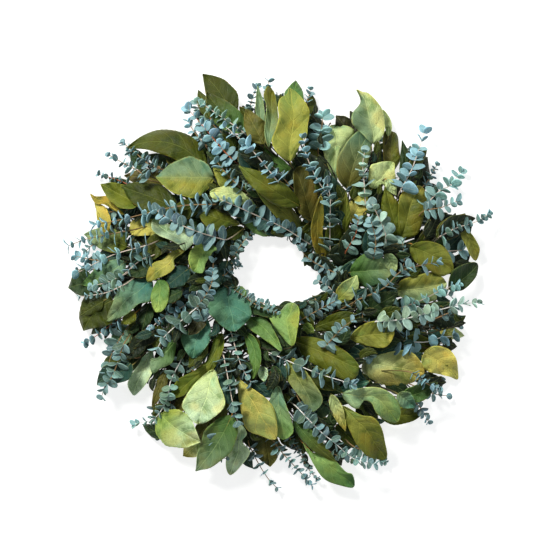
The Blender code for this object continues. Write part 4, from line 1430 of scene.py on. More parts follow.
@dataclass(frozen=True)
class BladePoint:
    """Where a shaded point lies on its leaf.

    The values are the share of the way out to the edge, the share of the way to the tip, the
    leaf's own number, millimetres from the midrib, 1 on an underside, and a place for noise.
    """

    half: Value
    along: Value
    own: Value
    wide: Value
    under: Value
    spot: Socket

    @classmethod
    def read(cls, nodes: Nodes, spread: float) -> BladePoint:
        """Read the point from the mesh.

        Args:
            nodes: The leaf's node tree.
            spread: How far apart the noise of two leaves may lie.

        Returns:
            The point.
        """
        across, along, own = nodes.parts(nodes.attribute("blade").outputs["Vector"])
        wide, far, under = nodes.parts(nodes.attribute("span").outputs["Vector"])
        return cls(abs(across), along, own, wide, under, nodes.joined(wide, far, own * spread))


@dataclass(frozen=True)
class SalalFinish:
    """Leathery broad leaf: pale veins, a net between them, mottling, worn edge, a painted highlight
    along the rim, pale back.

    The fields from darker on are factors of red, green and blue that the leaf's tone is scaled by.
    """

    noise_spread: float = 91.0
    side_veins: float = 6.0
    vein_lean: float = 1.35
    vein_bow: float = 1.15
    net_size: float = 0.42
    relief_height: float = 0.0015
    gloss: float = 0.24
    vein_colour: Triple = linear(198, 208, 130)
    # Colour of the painted highlight along the leaf's rim
    rim_highlight_colour: Triple = linear(206, 214, 110)
    back_colour: Triple = linear(146, 164, 112)
    margin_colour: Triple = linear(150, 116, 44)
    blemish_colour: Triple = linear(84, 58, 26)
    speck_colour: Triple = (0.03, 0.045, 0.012)
    darker: Triple = (0.4, 0.5, 0.34)
    cooler: Triple = (0.66, 1.0, 1.3)
    brighter: Triple = (1.5, 1.4, 1.3)
    golder: Triple = (1.5, 1.02, 0.55)
    paler: Triple = (1.8, 1.7, 1.6)
    rim_highlight_paler: Triple = (1.9, 1.8, 1.3)

    def material(self) -> bpy.types.Material:
        """The leaf's material.

        Returns:
            The material.
        """
        n = Nodes("salal_leaf_fine")
        tone = n.attribute("tone").outputs["Color"]
        at = BladePoint.read(n, self.noise_spread)
        wander = n.noise(at.spot, 0.09, 2.0) - 0.5
        mottle = n.noise(at.spot, 0.055, 4.0, 0.6)
        fine = n.noise(at.spot, 0.9, 3.0)
        cast = n.noise(at.spot, 0.03, 2.0) + at.own * 0.3 - 0.15

        rib = abs(at.wide + wander * 0.6).smooth(0.7, 0.2)
        lean = at.half**self.vein_bow * self.vein_lean
        gap = abs((at.along * self.side_veins - lean + at.own + wander * 0.35).fraction() - 0.5)
        veins = gap.smooth(0.055, 0.012) * (1.0 - at.half.smooth(0.78, 1.0))
        cells = n.cell_edges(at.spot, self.net_size)
        worn = at.half.smooth(0.93, 1.0) * n.noise(at.spot, 0.16, 2.0).smooth(0.5, 0.66)
        scars = n.noise(at.spot, 0.31, 2.0).smooth(0.69, 0.75) * mottle.smooth(0.45, 0.6)

        paler = n.mix(0.16, n.scaled(tone, self.paler), self.vein_colour)
        # The painted highlight along the rim: the tone made paler and mixed with a pale yellow-green
        rim = n.mix(0.1, n.scaled(tone, self.rim_highlight_paler), self.rim_highlight_colour)
        colour = n.coated(
            n.mix(mottle.smooth(0.3, 0.54), n.scaled(tone, self.darker), tone),
            (mottle.smooth(0.54, 0.8) * 0.6, n.scaled(tone, self.brighter)),
            (cast.smooth(0.54, 0.68) * 0.45, n.scaled(tone, self.golder)),
            (cast.smooth(0.44, 0.3) * 0.55, n.scaled(tone, self.cooler)),
            (fine.smooth(0.35, 0.7) * 0.25, self.speck_colour),
            (cells.smooth(0.11, 0.02) * 0.08, paler),
            (veins * 0.4, paler),
            (rib * 0.65, paler),
            # painted highlight along the rim of the leaf
            (at.half.smooth(0.9, 0.99) * 0.55, rim),
            (worn * 0.7, self.margin_colour),
            (scars * 0.7, self.blemish_colour),
            (at.under * 0.55, self.back_colour),
        )
        height = gap.smooth(0.0, 0.5) * 0.35 + cells.smooth(0.0, 0.3) * 0.25 - rib * 0.5
        height = height - veins * 0.3 + mottle * 0.5 + fine * 0.1
        rough = 0.36 + mottle * 0.22 + veins * 0.12 + scars * 0.2 + at.under * 0.2
        normal = n.bump(height, self.relief_height, 0.85)
        return n.dress(Base_Color=colour, Roughness=rough, Normal=normal,
                       Specular_IOR_Level=self.gloss)


@dataclass(frozen=True)
class EucalyptusFinish:
    """Matt blue-green leaf with a waxy bloom that is rubbed off in places, and a painted highlight
    along its edge.
    """

    noise_spread: float = 57.0
    side_veins: float = 5.0
    vein_lean: float = 1.1
    relief_height: float = 0.0007
    gloss: float = 0.4
    bloom: Triple = linear(160, 200, 202)
    rubbed: Triple = linear(56, 92, 78)
    rib: Triple = linear(196, 212, 184)
    # Colour of the painted highlight along the leaf's edge
    edge_highlight: Triple = linear(190, 224, 228)
    paler: Triple = (1.9, 1.8, 1.8)

    def material(self) -> bpy.types.Material:
        """The leaf's material.

        Returns:
            The material.
        """
        n = Nodes("eucalyptus_leaf_fine")
        tone = n.attribute("tone").outputs["Color"]
        at = BladePoint.read(n, self.noise_spread)
        wax = n.noise(at.spot, 0.14, 4.0, 0.62)
        grain = n.noise(at.spot, 1.6, 2.0)
        rib = abs(at.wide).smooth(0.42, 0.1) * (1.0 - at.along.smooth(0.75, 1.0))
        gap = abs((at.along * self.side_veins - at.half * self.vein_lean + at.own).fraction() - 0.5)
        veins = gap.smooth(0.06, 0.015) * (1.0 - at.half.smooth(0.7, 0.95))
        colour = n.coated(
            tone,
            (wax.smooth(0.62, 0.36) * 0.5, self.rubbed),
            (wax.smooth(0.5, 0.75) * 0.32, self.bloom),
            (grain.smooth(0.4, 0.7) * 0.12, self.bloom),
            (veins * 0.16, self.rib),
            (rib * 0.5, self.rib),
            # painted highlight along the edge of the leaf, the tone made paler and mixed with a bluish
            # white
            (at.half.smooth(0.72, 0.97) * 0.75,
             n.mix(0.35, n.scaled(tone, self.paler), self.edge_highlight)),
            (at.under * 0.35, self.bloom),
        )
        height = wax * 0.3 + grain * 0.06 - rib * 0.4 - veins * 0.15
        rough = 0.52 + wax * 0.2 - rib * 0.08
        normal = n.bump(height, self.relief_height, 0.6)
        return n.dress(Base_Color=colour, Roughness=rough, Normal=normal,
                       Specular_IOR_Level=self.gloss)


@dataclass(frozen=True)
class StemFinish:
    """Woody stem with fine lengthwise streaks and darker bands across."""

    name: str = "stem_fine"
    streak: Triple = linear(96, 66, 38)
    relief_height: float = 0.0006

    def material(self) -> bpy.types.Material:
        """The stem's material.

        Returns:
            The material.
        """
        n = Nodes(self.name)
        tone = n.attribute("tone").outputs["Color"]
        _, _, own = n.parts(n.attribute("blade").outputs["Vector"])
        turn, far, _ = n.parts(n.attribute("span").outputs["Vector"])
        spot = n.joined(turn.math("COSINE"), turn.math("SINE"), far * 0.12 + own * 37.0)
        streaks = n.noise(spot, 3.2, 3.0, 0.6)
        bands = n.noise(n.joined(0.0, 0.0, far * 0.09 + own * 11.0), 2.0, 2.0)
        colour = n.coated(
            tone,
            (streaks.smooth(0.5, 0.72) * 0.28, self.streak),
            (bands.smooth(0.52, 0.7) * 0.2, self.streak),
        )
        normal = n.bump(streaks * 0.5 + bands * 0.3, self.relief_height, 0.6)
        return n.dress(Base_Color=colour, Roughness=0.5 + streaks * 0.25, Normal=normal)


@dataclass(frozen=True)
class WireFinish:
    """Green enamelled wire with chips that show the steel."""

    enamel: Triple = linear(34, 58, 36)
    pale_enamel: Triple = linear(52, 84, 50)
    steel: Triple = linear(120, 118, 112)
    relief_height: float = 0.0004

    def material(self) -> bpy.types.Material:
        """The wire's material.

        Returns:
            The material.
        """
        n = Nodes("green_wire_fine")
        place = n.position()
        chips = n.noise(place, 240.0, 4.0, 0.6).smooth(0.66, 0.71)
        drips = n.noise(place, 70.0, 3.0)
        colour = n.mix(drips.smooth(0.35, 0.7) * 0.5, self.enamel, self.pale_enamel)
        colour = n.mix(chips, colour, self.steel)
        rough = 0.3 + drips * 0.2 + chips * 0.12
        normal = n.bump(drips * 0.4 - chips * 0.5, self.relief_height, 0.5)
        return n.dress(Base_Color=colour, Roughness=rough, Metallic=chips * 0.9, Normal=normal)


@dataclass(frozen=True)
class FloorFinish:
    """Plain pale floor with a very faint grain, lit from within a little."""

    colour: Triple = (0.46, 0.46, 0.455)
    grain_colour: Triple = (0.42, 0.42, 0.415)
    glow: float = 0.76

    def material(self) -> bpy.types.Material:
        """The floor's material.

        Returns:
            The material.
        """
        n = Nodes("pale_floor")
        grain = n.noise(n.position(), 18.0, 3.0)
        colour = n.mix(grain * 0.03, self.colour, self.grain_colour)
        return n.dress(Base_Color=colour, Roughness=0.75, Emission_Color=(1.0, 1.0, 1.0),
                       Emission_Strength=self.glow)


# The wreath's parts


def faded(near: Tone, far: Tone, count: int, start: float) -> Array:
    """Colours along a stem, one tone up to a share of it and then fading to the other."""
    share = np.clip((np.linspace(0, 1, count) - start) / (1 - start), 0, 1)[:, None]
    return np.array(near.value) * (1 - share) + np.array(far.value) * share


def place_piece(piece: bpy.types.Object, node: str) -> None:
    """Put a piece in place of its CAD node and report it.

    Args:
        piece: The finished piece.
        node: The CAD node that it replaces.
    """
    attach(piece, "root")
    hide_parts(node)
    log.info("%s: %d faces in place of %s", piece.name, len(piece.data.polygons), node)


def stem_path(item: Item, outward: float, low: float, steps: int) -> Array:
    """The route of a stem from its clamp, below the foliage, up to an item.

    Args:
        item: The leaf or sprig that the stem carries.
        outward: How far outside the ring's wire the stem leaves the clamp.
        low: Its height in the clamp.
        steps: How many points it has.

    Returns:
        Points, steps + 1 by 3.
    """
    out, ahead = (way[:2] for way in FANS.clamp_ways(item.bunch))
    start = out * (FANS.ring_radius + outward) + ahead * 4.0
    target = np.array(item.base)
    way = np.array(item.along if isinstance(item, Leaf) else item.at(0.0)[1])
    span = np.linalg.norm(target - start)
    first = start + unit(np.array((-start[1], start[0]))) * min(0.4 * span, 40.0)
    second = target - way * min(0.25 * span, 15.0)
    t = np.linspace(0.0, 1.0, steps + 1)[:, None]
    flat = ((1 - t) ** 3 * start + 3 * (1 - t) ** 2 * t * first
            + 3 * (1 - t) * t**2 * second + t**3 * target)
    x, y = item.base
    top = float(FANS.height(x, y, item.fan, item.offset))
    heights = low + (top - low) * t[:, 0] ** 3
    return np.column_stack([flat, heights])


class Kind(Enum):
    """The two kinds of foliage."""

    SALAL = "salal"
    EUCALYPTUS = "eucalyptus"


@dataclass
class Spray:
    """A bunch's leaves of one kind, gathered in its clamp. Lengths are in millimetres."""

    bunch: int
    items: list[Item]
    core_height: float
    core_tone: Tone
    kind: Kind = Kind.SALAL
    stems: int = 4
    stem_radius: float = 1.15
    spacing: float = 1.15
    stem_back: Pair = (5.0, 9.0)
    stem_front: float = 7.0
    stem_seed: int = 700
    ceiling: float = 116.0

    def add_cut_stems(self, mesh: Grown) -> None:
        """Add the gathered stem ends that pass through the clamp.

        Args:
            mesh: What to add them to.
        """
        draw = np.random.default_rng(self.stem_seed + self.bunch)
        out, ahead = FANS.clamp_ways(self.bunch)
        for i in range(self.stems):
            side = self.spacing * (1 if i % 2 else -1)
            level = self.core_height + self.spacing * (1 if i // 2 else -1)
            back = -draw.uniform(*self.stem_back)
            along = np.linspace(back, self.stem_front, 6)[:, None]
            path = out * (FANS.ring_radius + side) + ahead * along + UP * level
            radii = self.stem_radius * draw.uniform(0.85, 1.0)
            add_tube(mesh, path, radii, self.core_tone, 8, seed=draw.random())

    def add_item(self, mesh: Grown, item: Item) -> None:
        """Add one of the spray's leaves or sprigs."""
        raise NotImplementedError

    def build(self, leaf_finish: bpy.types.Material, stem_finish: bpy.types.Material) -> None:
        """Make the spray's piece and put it in place of its CAD node.

        Args:
            leaf_finish: The material of its leaves.
            stem_finish: The material of its stems.
        """
        node = f"{self.kind.value}_spray_{self.bunch + 1:02d}"
        mesh = Grown(f"{node}_leaves")
        self.add_cut_stems(mesh)
        for item in self.items:
            self.add_item(mesh, item)
        piece = mesh.finished([leaf_finish, stem_finish])
        place_piece(piece, node)


@dataclass
class SalalSpray(Spray):
    """The broad leaves of one bunch."""

    grid: tuple[int, int] = (44, 15)
    hidden_grid: tuple[int, int] = (10, 5)
    thickness: float = 0.55
    light: Pair = (-0.57, 0.82)
    tooth: float = 0.012
    ripple: float = 0.035
    lowest: float = 1.2
    room_share: float = 0.6
    leaf_seed: int = 1000
    clamp_side: float = 1.2
    petiole_radii: Pair = (1.25, 0.75)
    midrib_radii: Pair = (0.6, 0.2)
    midrib_share: float = 0.9
    midrib_sink: float = 0.25

    def add_item(self, mesh: Grown, leaf: Leaf) -> None:
        """Add one leaf with its own curl, waves and tone.

        Args:
            mesh: What to add it to.
            leaf: The leaf.
        """
        draw = np.random.default_rng(self.leaf_seed + leaf.number)
        hidden = leaf.layer < 0
        rows, columns = self.hidden_grid if hidden else self.grid
        t = np.linspace(0.0, 1.0, rows) ** 1.05
        u = np.linspace(-1.0, 1.0, columns)
        base, tip = np.array(leaf.base), np.array(leaf.tip)
        left = np.array(leaf.left)
        rib = base + (tip - base) * t[:, None] + left * (leaf.bow * 4 * t * (1 - t))[:, None]
        slant = np.gradient(rib, axis=0)
        across = unit(np.column_stack([-slant[:, 1], slant[:, 0]]))
        half = 0.5 * leaf.width * np.sin(np.pi * np.clip(t, 0.004, 0.996) ** 0.75) ** 0.8
        half = half * (1 - 0.35 * np.clip((t - 0.8) / 0.2, 0, 1) ** 2) + 0.25
        waves = [draw.uniform(0, TURN) for _ in range(4)]
        sides = []
        for side in (0, 1):
            ripple = self.ripple * np.sin(TURN * t * draw.uniform(2.0, 3.5) + waves[side])
            ripple += self.tooth * np.sin(TURN * t * leaf.length / 5.0 + waves[side + 2])
            lean = 1 + draw.uniform(-0.06, 0.06)
            sides.append(half * (1 + ripple) * lean)
        width = np.where(u[None, :] > 0, sides[0][:, None], sides[1][:, None])
        plan = rib[:, None, :] + across[:, None, :] * (u[None, :, None] * width[..., None])
        measured = leaf.edges(t)
        if measured:
            one, rib, two = measured
            width = np.where(u[None, :] > 0, np.linalg.norm(one - rib, axis=1)[:, None],
                             np.linalg.norm(two - rib, axis=1)[:, None]) + 0.2
            edge = np.where(u[None, :, None] > 0, one[:, None], two[:, None])
            plan = rib[:, None] + (edge - rib[:, None]) * np.abs(u)[None, :, None]
            plan += across[:, None, :] * (u[None, :, None] * 0.25)
        relief = self.relief(leaf, draw, t[:, None], u[None, :], width)
        relief = leaf.fitted(plan, relief * (0.5 if hidden else 1.0), self.room_share)
        shelf = FANS.height(plan[..., 0], plan[..., 1], leaf.fan, leaf.offset)
        height = np.clip(shelf + relief, self.lowest, self.ceiling)
        surface = np.dstack([plan, height])
        own = draw.random()
        turned = u[None, :] * -1.5 + 0.5 if leaf.halved else (t[:, None] - 0.2) / 0.65
        turned = np.clip(np.broadcast_to(turned, width.shape), 0, 1)[..., None]
        first, second = (np.array(tone.value) for tone in leaf.tones)
        tone = (first * (1 - turned) + second * turned) * draw.uniform(0.85, 1.15)
        blade, span = leaf_data(u, t, own, u * width, leaf.length)
        add_blade(mesh, surface, self.thickness, tone, blade, span)
        self.add_petiole(mesh, leaf, surface[:, columns // 2], hidden, own)

    def relief(self, leaf: Leaf, draw: np.random.Generator, t: Array, u: Array,
               width: Array) -> Array:
        """How far each point stands above the leaf's shelf.

        Args:
            leaf: The leaf.
            draw: Its random numbers.
            t, u: Along from 0 to 1 and across from -1 to 1.
            width: The half width at each point.

        Returns:
            Heights in millimetres.
        """
        reach = u * width
        fold = draw.uniform(0.1, 0.75) * np.abs(reach)
        lean = draw.normal(0.0, 0.3)
        if leaf.layer >= 2:
            lean = -math.copysign(lean, leaf.left @ Vector(self.light))
        tilt = lean * reach
        arch = draw.uniform(-0.04, 0.1) * leaf.length * 4 * t * (1 - t)
        droop = -draw.uniform(0.0, 0.14) * leaf.length * t**3
        curl = draw.choice((-1.0, 1.0), p=(0.6, 0.4)) * draw.uniform(0.1, 0.65)
        curled = curl * width * np.abs(u) ** 3
        wave = 0.16 * leaf.width * np.abs(u) ** 1.6 * (
            np.sin(TURN * t * draw.uniform(1.2, 2.6) + draw.uniform(0, TURN) + (u > 0) * 2.0))
        twist = draw.normal(0.0, 0.7) * reach * (t - 0.4)
        swell = 0.045 * leaf.width * np.sin(math.pi * np.abs(u)) * np.sin(
            TURN * t * draw.uniform(1.5, 3.0) + draw.uniform(0, TURN) - (u > 0) * 1.5)
        return fold + tilt + arch + droop + curled + wave + twist + swell

    def add_petiole(self, mesh: Grown, leaf: Leaf, rib: Array, hidden: bool, own: float) -> None:
        """Add a leaf's stalk back to the clamp, and its raised midrib.

        Args:
            mesh: What to add them to.
            leaf: The leaf.
            rib: The middle line of its blade, n by 3.
            hidden: Whether it is hidden growth, which gets no midrib.
            own: The leaf's own random number.
        """
        inner = leaf.base.length < FANS.ring_radius - 15
        outward = -self.clamp_side if inner else self.clamp_side
        path = stem_path(leaf, outward, self.core_height, 7 if hidden else 14)
        path[:, 2] += (rib[0, 2] - path[-1, 2]) * np.linspace(0, 1, len(path)) ** 3
        tone = Tone.ORANGE_STEM if leaf.number % 5 == 0 else Tone.OLIVE_STEM
        # Stalks of hidden leaves stay dark brown all along, as painted shade like the rest of the
        # hidden growth
        tones = faded(Tone.DARK_BROWN, Tone.DARK_BROWN if hidden else tone, len(path), 0.85)
        radii = np.linspace(*self.petiole_radii, len(path))
        add_tube(mesh, path, radii, tones, 4 if hidden else 6, seed=own)
        if not hidden:
            short = rib[: int(len(rib) * self.midrib_share)] - UP * self.midrib_sink
            add_tube(mesh, short, np.linspace(*self.midrib_radii, len(short)), tone, 6, seed=own)


@dataclass
class EucalyptusSpray(Spray):
    """The leafy eucalyptus stems of one bunch."""

    kind: Kind = Kind.EUCALYPTUS
    pair_gap: float = 0.58
    facing_from: float = 0.75
    thickness: float = 0.5
    grid: tuple[int, int] = (9, 5)
    hidden_grid: tuple[int, int] = (6, 3)
    lowest: float = 1.0
    room_share: float = 0.75
    sprig_seed: int = 5000
    stem_radii: Pair = (1.05, 0.42)
    casts: tuple[Tone, ...] = (Tone.SKY, Tone.SAGE, Tone.NIGHT, Tone.CYAN, Tone.LILAC)

    def add_item(self, mesh: Grown, sprig: Sprig) -> None:
        """Add one stem with its pairs of leaves, each pair turned from the last.

        Args:
            mesh: What to add it to.
            sprig: The sprig.
        """
        draw = np.random.default_rng(self.sprig_seed + sprig.number)
        outward = draw.uniform(-1.2, 1.2)
        spots = [sprig.at(d) for d in np.linspace(0, sprig.length, 18)]
        flat = np.array([spot for spot, _ in spots])
        path = np.column_stack([flat, FANS.height(flat[:, 0], flat[:, 1], sprig.fan, 0.0)])
        lead = stem_path(sprig, outward, self.core_height, 12)
        whole = np.vstack([lead[:-1], path])
        # Leads of sprigs in lower layers are darker brown, as painted shade
        lead_tone = Tone.BROWN if sprig.layer > 3 else Tone.DARK_BROWN
        tones = faded(lead_tone, sprig.stem, len(lead) - 1, 0.86)
        tones = np.vstack([tones, np.broadcast_to(sprig.stem.value, (len(path), 3))])
        radii = np.linspace(*self.stem_radii, len(whole))
        add_tube(mesh, whole, radii, tones, 6, seed=draw.random())
        spacing = self.pair_gap * sprig.leaf
        count = max(2, round(sprig.length / spacing))
        facing = sprig.roundness > self.facing_from
        step = draw.uniform(0.35, 0.6) if facing else math.pi / 2
        start = draw.normal(0.0, 0.12) - (step / 2 if facing else 0.0)
        twist = draw.normal(0.0, 0.25 if sprig.roundness < 0.5 else 0.7)
        for i in range(count + 1):
            share = i / count
            size = sprig.leaf * (1.12 - 0.4 * share) * draw.uniform(0.82, 1.1)
            roll = start + twist * share + (i % 2) * step + draw.normal(0.0, 0.3)
            self.add_pair(mesh, sprig, draw, share + draw.normal(0.0, 0.25) / count, roll, size)

    def add_pair(self, mesh: Grown, sprig: Sprig, draw: np.random.Generator, share: float,
                 roll: float, size: float) -> None:
        """Add one pair of leaves.

        Args:
            mesh: What to add it to.
            sprig: The sprig that carries it.
            draw: The sprig's random numbers.
            share: How far along the sprig it sits, from 0 to 1.
            roll: How far it is turned about the stem from lying flat.
            size: The leaves' length.
        """
        share = min(1.0, max(0.0, share))
        facing = sprig.roundness > self.facing_from
        spot, way = sprig.at(sprig.length * share)
        height = float(FANS.height(spot.x, spot.y, sprig.fan, 0.0))
        root = np.array((spot.x, spot.y, height))
        forward = np.array((way.x, way.y, 0.0))
        left = np.array((-way.y, way.x, 0.0))
        for side in (1, -1):
            outward = side * (math.cos(roll) * left + math.sin(roll) * UP)
            lean = math.radians(draw.uniform(52, 94) - 28 * share**2)
            axis = math.sin(lean) * outward + math.cos(lean) * forward
            face = unit(math.sin(lean) * forward - math.cos(lean) * outward)
            broad = np.cross(axis, face)
            least = 0.5 if facing else 0.15
            flatten = math.asin(min(0.98, sprig.roundness)) * draw.uniform(least, 1.0)
            if abs(broad[2]) > 0.5:
                turn = flatten * (1 if draw.random() < 0.5 else -1)
                broad, face = (math.cos(turn) * broad + math.sin(turn) * face,
                               math.cos(turn) * face - math.sin(turn) * broad)
            tone = self.leaf_tone(sprig, draw, share)
            self.add_round_leaf(mesh, sprig, draw, root, (axis, broad, face), size, tone)

    def leaf_tone(self, sprig: Sprig, draw: np.random.Generator, share: float) -> Array:
        """A leaf's own tone, darker and greyer near the root and paler near the tip.

        Args:
            sprig: The sprig that carries it.
            draw: The sprig's random numbers.
            share: How far along the sprig it sits, from 0 to 1.

        Returns:
            The linear colour.
        """
        cast = self.casts[draw.integers(len(self.casts))]
        hidden = sprig.layer < 0
        # Hidden sprigs keep more of their dark tone and no paler tip, as painted shade in the gaps
        mixed = draw.uniform(0.0, 0.55) * (0.3 if hidden else 1.0)
        tone = np.array(sprig.tone.value) * (1 - mixed) + np.array(cast.value) * mixed
        paler = 0.0 if hidden else 0.35 * share**1.5
        tone = tone * (1 - paler) + np.array(Tone.SKY.value) * paler
        return tone * draw.uniform(0.42, 1.3) * (0.78 + 0.37 * share)

    def add_round_leaf(self, mesh: Grown, sprig: Sprig, draw: np.random.Generator, root: Array,
                       frame: tuple[Array, Array, Array], size: float, tone: Array) -> None:
        """Add one small round leaf, unless it would lie over a seen broad leaf as hidden growth.

        Args:
            mesh: What to add it to.
            sprig: The sprig that carries it.
            draw: The sprig's random numbers.
            root: Where it joins the stem.
            frame: Its ways along, across and out of its face.
            size: Its length.
            tone: Its linear colour.
        """
        axis, broad, face = frame
        length = size * draw.uniform(0.76, 1.12)
        wide = 0.5 * length * draw.uniform(0.78, 0.95)
        rows, columns = self.hidden_grid if sprig.layer < 0 else self.grid
        t = (1 - np.cos(np.linspace(0.0, math.pi, rows))) / 2
        u = np.linspace(-1.0, 1.0, columns)
        half = wide * np.sin(np.pi * np.clip(t, 0.01, 0.99) ** 0.9) ** 0.52 + 0.12
        reach = u[None, :] * half[:, None]
        cup = draw.uniform(0.05, 0.28) * reach**2 / max(wide, 1.0)
        bend = -draw.uniform(0.0, 0.16) * length * t[:, None] ** 2
        ripple = 0.05 * wide * np.abs(u) ** 2 * np.sin(
            TURN * t[:, None] * 1.6 + draw.uniform(0, TURN))
        surface = (root + axis * (t[:, None, None] * length) + broad * reach[..., None]
                   + face * (cup + bend + ripple)[..., None])
        rise = sprig.fitted(surface[..., :2], surface[..., 2] - root[2], self.room_share)
        surface[..., 2] = np.clip(root[2] + rise, self.lowest, self.ceiling)
        own = draw.random()
        middle = np.round(surface[rows // 2, columns // 2, :2] / CELL).astype(int)
        if tuple(middle) not in sprig.proud:
            blade, span = leaf_data(u, t, own, reach, length)
            add_blade(mesh, surface, self.thickness, tone, blade, span)


@dataclass(frozen=True)
class ClampRing:
    """The wire ring and its clamps, round and smoothly bent."""

    wire: float = 3.6
    clamp_wire: float = 2.0
    half_width: float = 5.0
    shoulder: float = 19.6
    tip_reach: float = 1.6
    tip_split: float = 1.4
    bend: float = 1.6
    weld: float = 0.2
    ring_points: int = 144
    name: str = "clamp_ring"

    def clamp_path(self, bunch: int) -> Array:
        """The route of one clamp's wire, with rounded corners.

        Args:
            bunch: The bunch that it holds.

        Returns:
            Points, n by 3.
        """
        out, ahead = FANS.clamp_ways(bunch)
        foot = self.clamp_wire / 2
        corners = []
        for side in (-1, 1):
            forward = -side * self.tip_split
            over = out * (FANS.ring_radius - side * self.tip_reach) + ahead * forward
            wall = out * (FANS.ring_radius + side * self.half_width)
            tip, top = over + UP * self.shoulder, wall + ahead * forward + UP * self.shoulder
            points = [tip, top, wall + UP * foot]
            corners += points if side < 0 else points[::-1]
        path = [corners[0]]
        for before, corner, after in zip(corners, corners[1:], corners[2:], strict=False):
            start = corner + unit(before - corner) * self.bend
            end = corner + unit(after - corner) * self.bend
            for t in np.linspace(0.0, 1.0, 5):
                path.append((1 - t) ** 2 * start + 2 * (1 - t) * t * corner + t**2 * end)
        path.append(corners[-1])
        return np.array(path)

    def build(self, finish: bpy.types.Material) -> None:
        """Make the ring's piece and put it in place of its CAD node.

        Args:
            finish: The wire's material.
        """
        mesh = Grown(f"{self.name}_wire")
        turns = TURN * np.arange(self.ring_points) / self.ring_points
        level = self.clamp_wire + self.wire / 2 - self.weld
        x, y = FANS.ring_radius * np.cos(turns), FANS.ring_radius * np.sin(turns)
        circle = np.column_stack([x, y, np.full(self.ring_points, level)])
        add_tube(mesh, circle, self.wire / 2, Tone.BARK, 12, closed=True, slot=0)
        for bunch in range(FANS.bunches):
            add_tube(mesh, self.clamp_path(bunch), self.clamp_wire / 2, Tone.BARK, 10, slot=0)
        place_piece(mesh.finished([finish]), self.name)


# Hidden growth


@dataclass(frozen=True)
class Round:
    """One round of hidden growth.

    It has the least and the greatest length, the least share over a gap, the largest share over
    seen items, and the tries for each gap.
    """

    least: float
    most: float
    bare: float
    spill: float
    tries: int


@dataclass
class Undergrowth:
    """Leaves and sprigs low in the shelves, where the photograph shows only dark gaps, in near-black
    tones that paint the shade of those gaps.
    """

    rounds: tuple[Round, ...] = (
        Round(40, 64, 0.3, 0.12, 4), Round(28, 44, 0.3, 0.14, 4), Round(18, 30, 0.2, 0.2, 5),
        Round(13, 22, 0.12, 0.3, 6), Round(11, 18, 0.08, 0.3, 6),
    )
    leaf_share: float = 0.75
    rim: float = 215.0
    hole_edge: float = 85.0
    seed: int = 77
    first_number: int = 10000
    leaf_width: float = 0.5
    round_leaf: Pair = (11, 16)
    roundness: Pair = (0.5, 0.9)
    # Dark leaf and sprig tones for hidden growth, kept near black as painted shade in the gaps
    shade_leaf_tones: tuple[Tone, ...] = (Tone.SHADE_BLACK, Tone.DEEP, Tone.DARK_OLIVE, Tone.SHADE_BLACK, Tone.DARK_TEAL)
    shade_sprig_tones: tuple[Tone, ...] = (Tone.NIGHT, Tone.DUSK, Tone.NIGHT, Tone.MOSS)

    def fill(self, pile: Pile) -> None:
        """Tuck growth below the seen leaves over every gap that has room for it.

        Args:
            pile: The pile with all that is seen.
        """
        draw = np.random.default_rng(self.seed)
        number = self.first_number
        for growth in self.rounds:
            gaps = pile.gaps()
            draw.shuffle(gaps)
            for gap in gaps:
                middle = np.array(gap) * CELL
                at_edge = (np.linalg.norm(middle) > self.rim
                           or np.linalg.norm(middle - pile.hole_middle) < self.hole_edge)
                for _ in range(growth.tries):
                    if pile.cover.get(tuple(gap), 0.0) >= 1.0:
                        break
                    number += 1
                    leafy = draw.random() < self.leaf_share * (0.5 if at_edge else 1.0)
                    shifted = middle + draw.normal(0.0, 0.15 * growth.least, 2)
                    size = draw.uniform(growth.least, growth.most)
                    item = self.draw_item(leafy, shifted, size, draw, number)
                    if pile.wanted(item, growth.bare):
                        pile.tuck(item, growth.spill)
            log.info("%d gaps after growth of %d to %d mm", len(pile.gaps()), growth.least,
                     growth.most)

    def draw_item(self, leafy: bool, middle: Array, size: float, draw: np.random.Generator,
                  number: int) -> Item:
        """A broad leaf or a sprig that points outwards, or any way near the hole.

        Args:
            leafy: Whether it is a broad leaf.
            middle: Its middle, seen from the front.
            size: Its length.
            draw: Random numbers.
            number: Its own number.

        Returns:
            The leaf or sprig.
        """
        angle = math.atan2(middle[1], middle[0])
        loose = np.linalg.norm(middle) < self.hole_edge
        heading = angle + (draw.uniform(0.0, TURN) if loose else 0.5 + draw.normal(0.0, 0.5))
        way = np.array((math.cos(heading), math.sin(heading)))
        start, end = middle - way * size / 2, middle + way * size / 2
        if leafy:
            tone = self.shade_leaf_tones[number % len(self.shade_leaf_tones)]
            return Leaf(-1, base=Vector(start), tip=Vector(end), width=size * self.leaf_width,
                        bow=draw.normal(0, 3), tones=(tone, tone), number=number)
        side = np.array((-way[1], way[0])) * draw.normal(0, 4)
        points = [Vector(start), Vector(middle + side), Vector(end)]
        leaf = min(draw.uniform(*self.round_leaf), 0.8 * size)
        return Sprig(-1, points=points, leaf=leaf, roundness=draw.uniform(*self.roundness),
                     tone=self.shade_sprig_tones[number % len(self.shade_sprig_tones)], number=number)


# The whole wreath


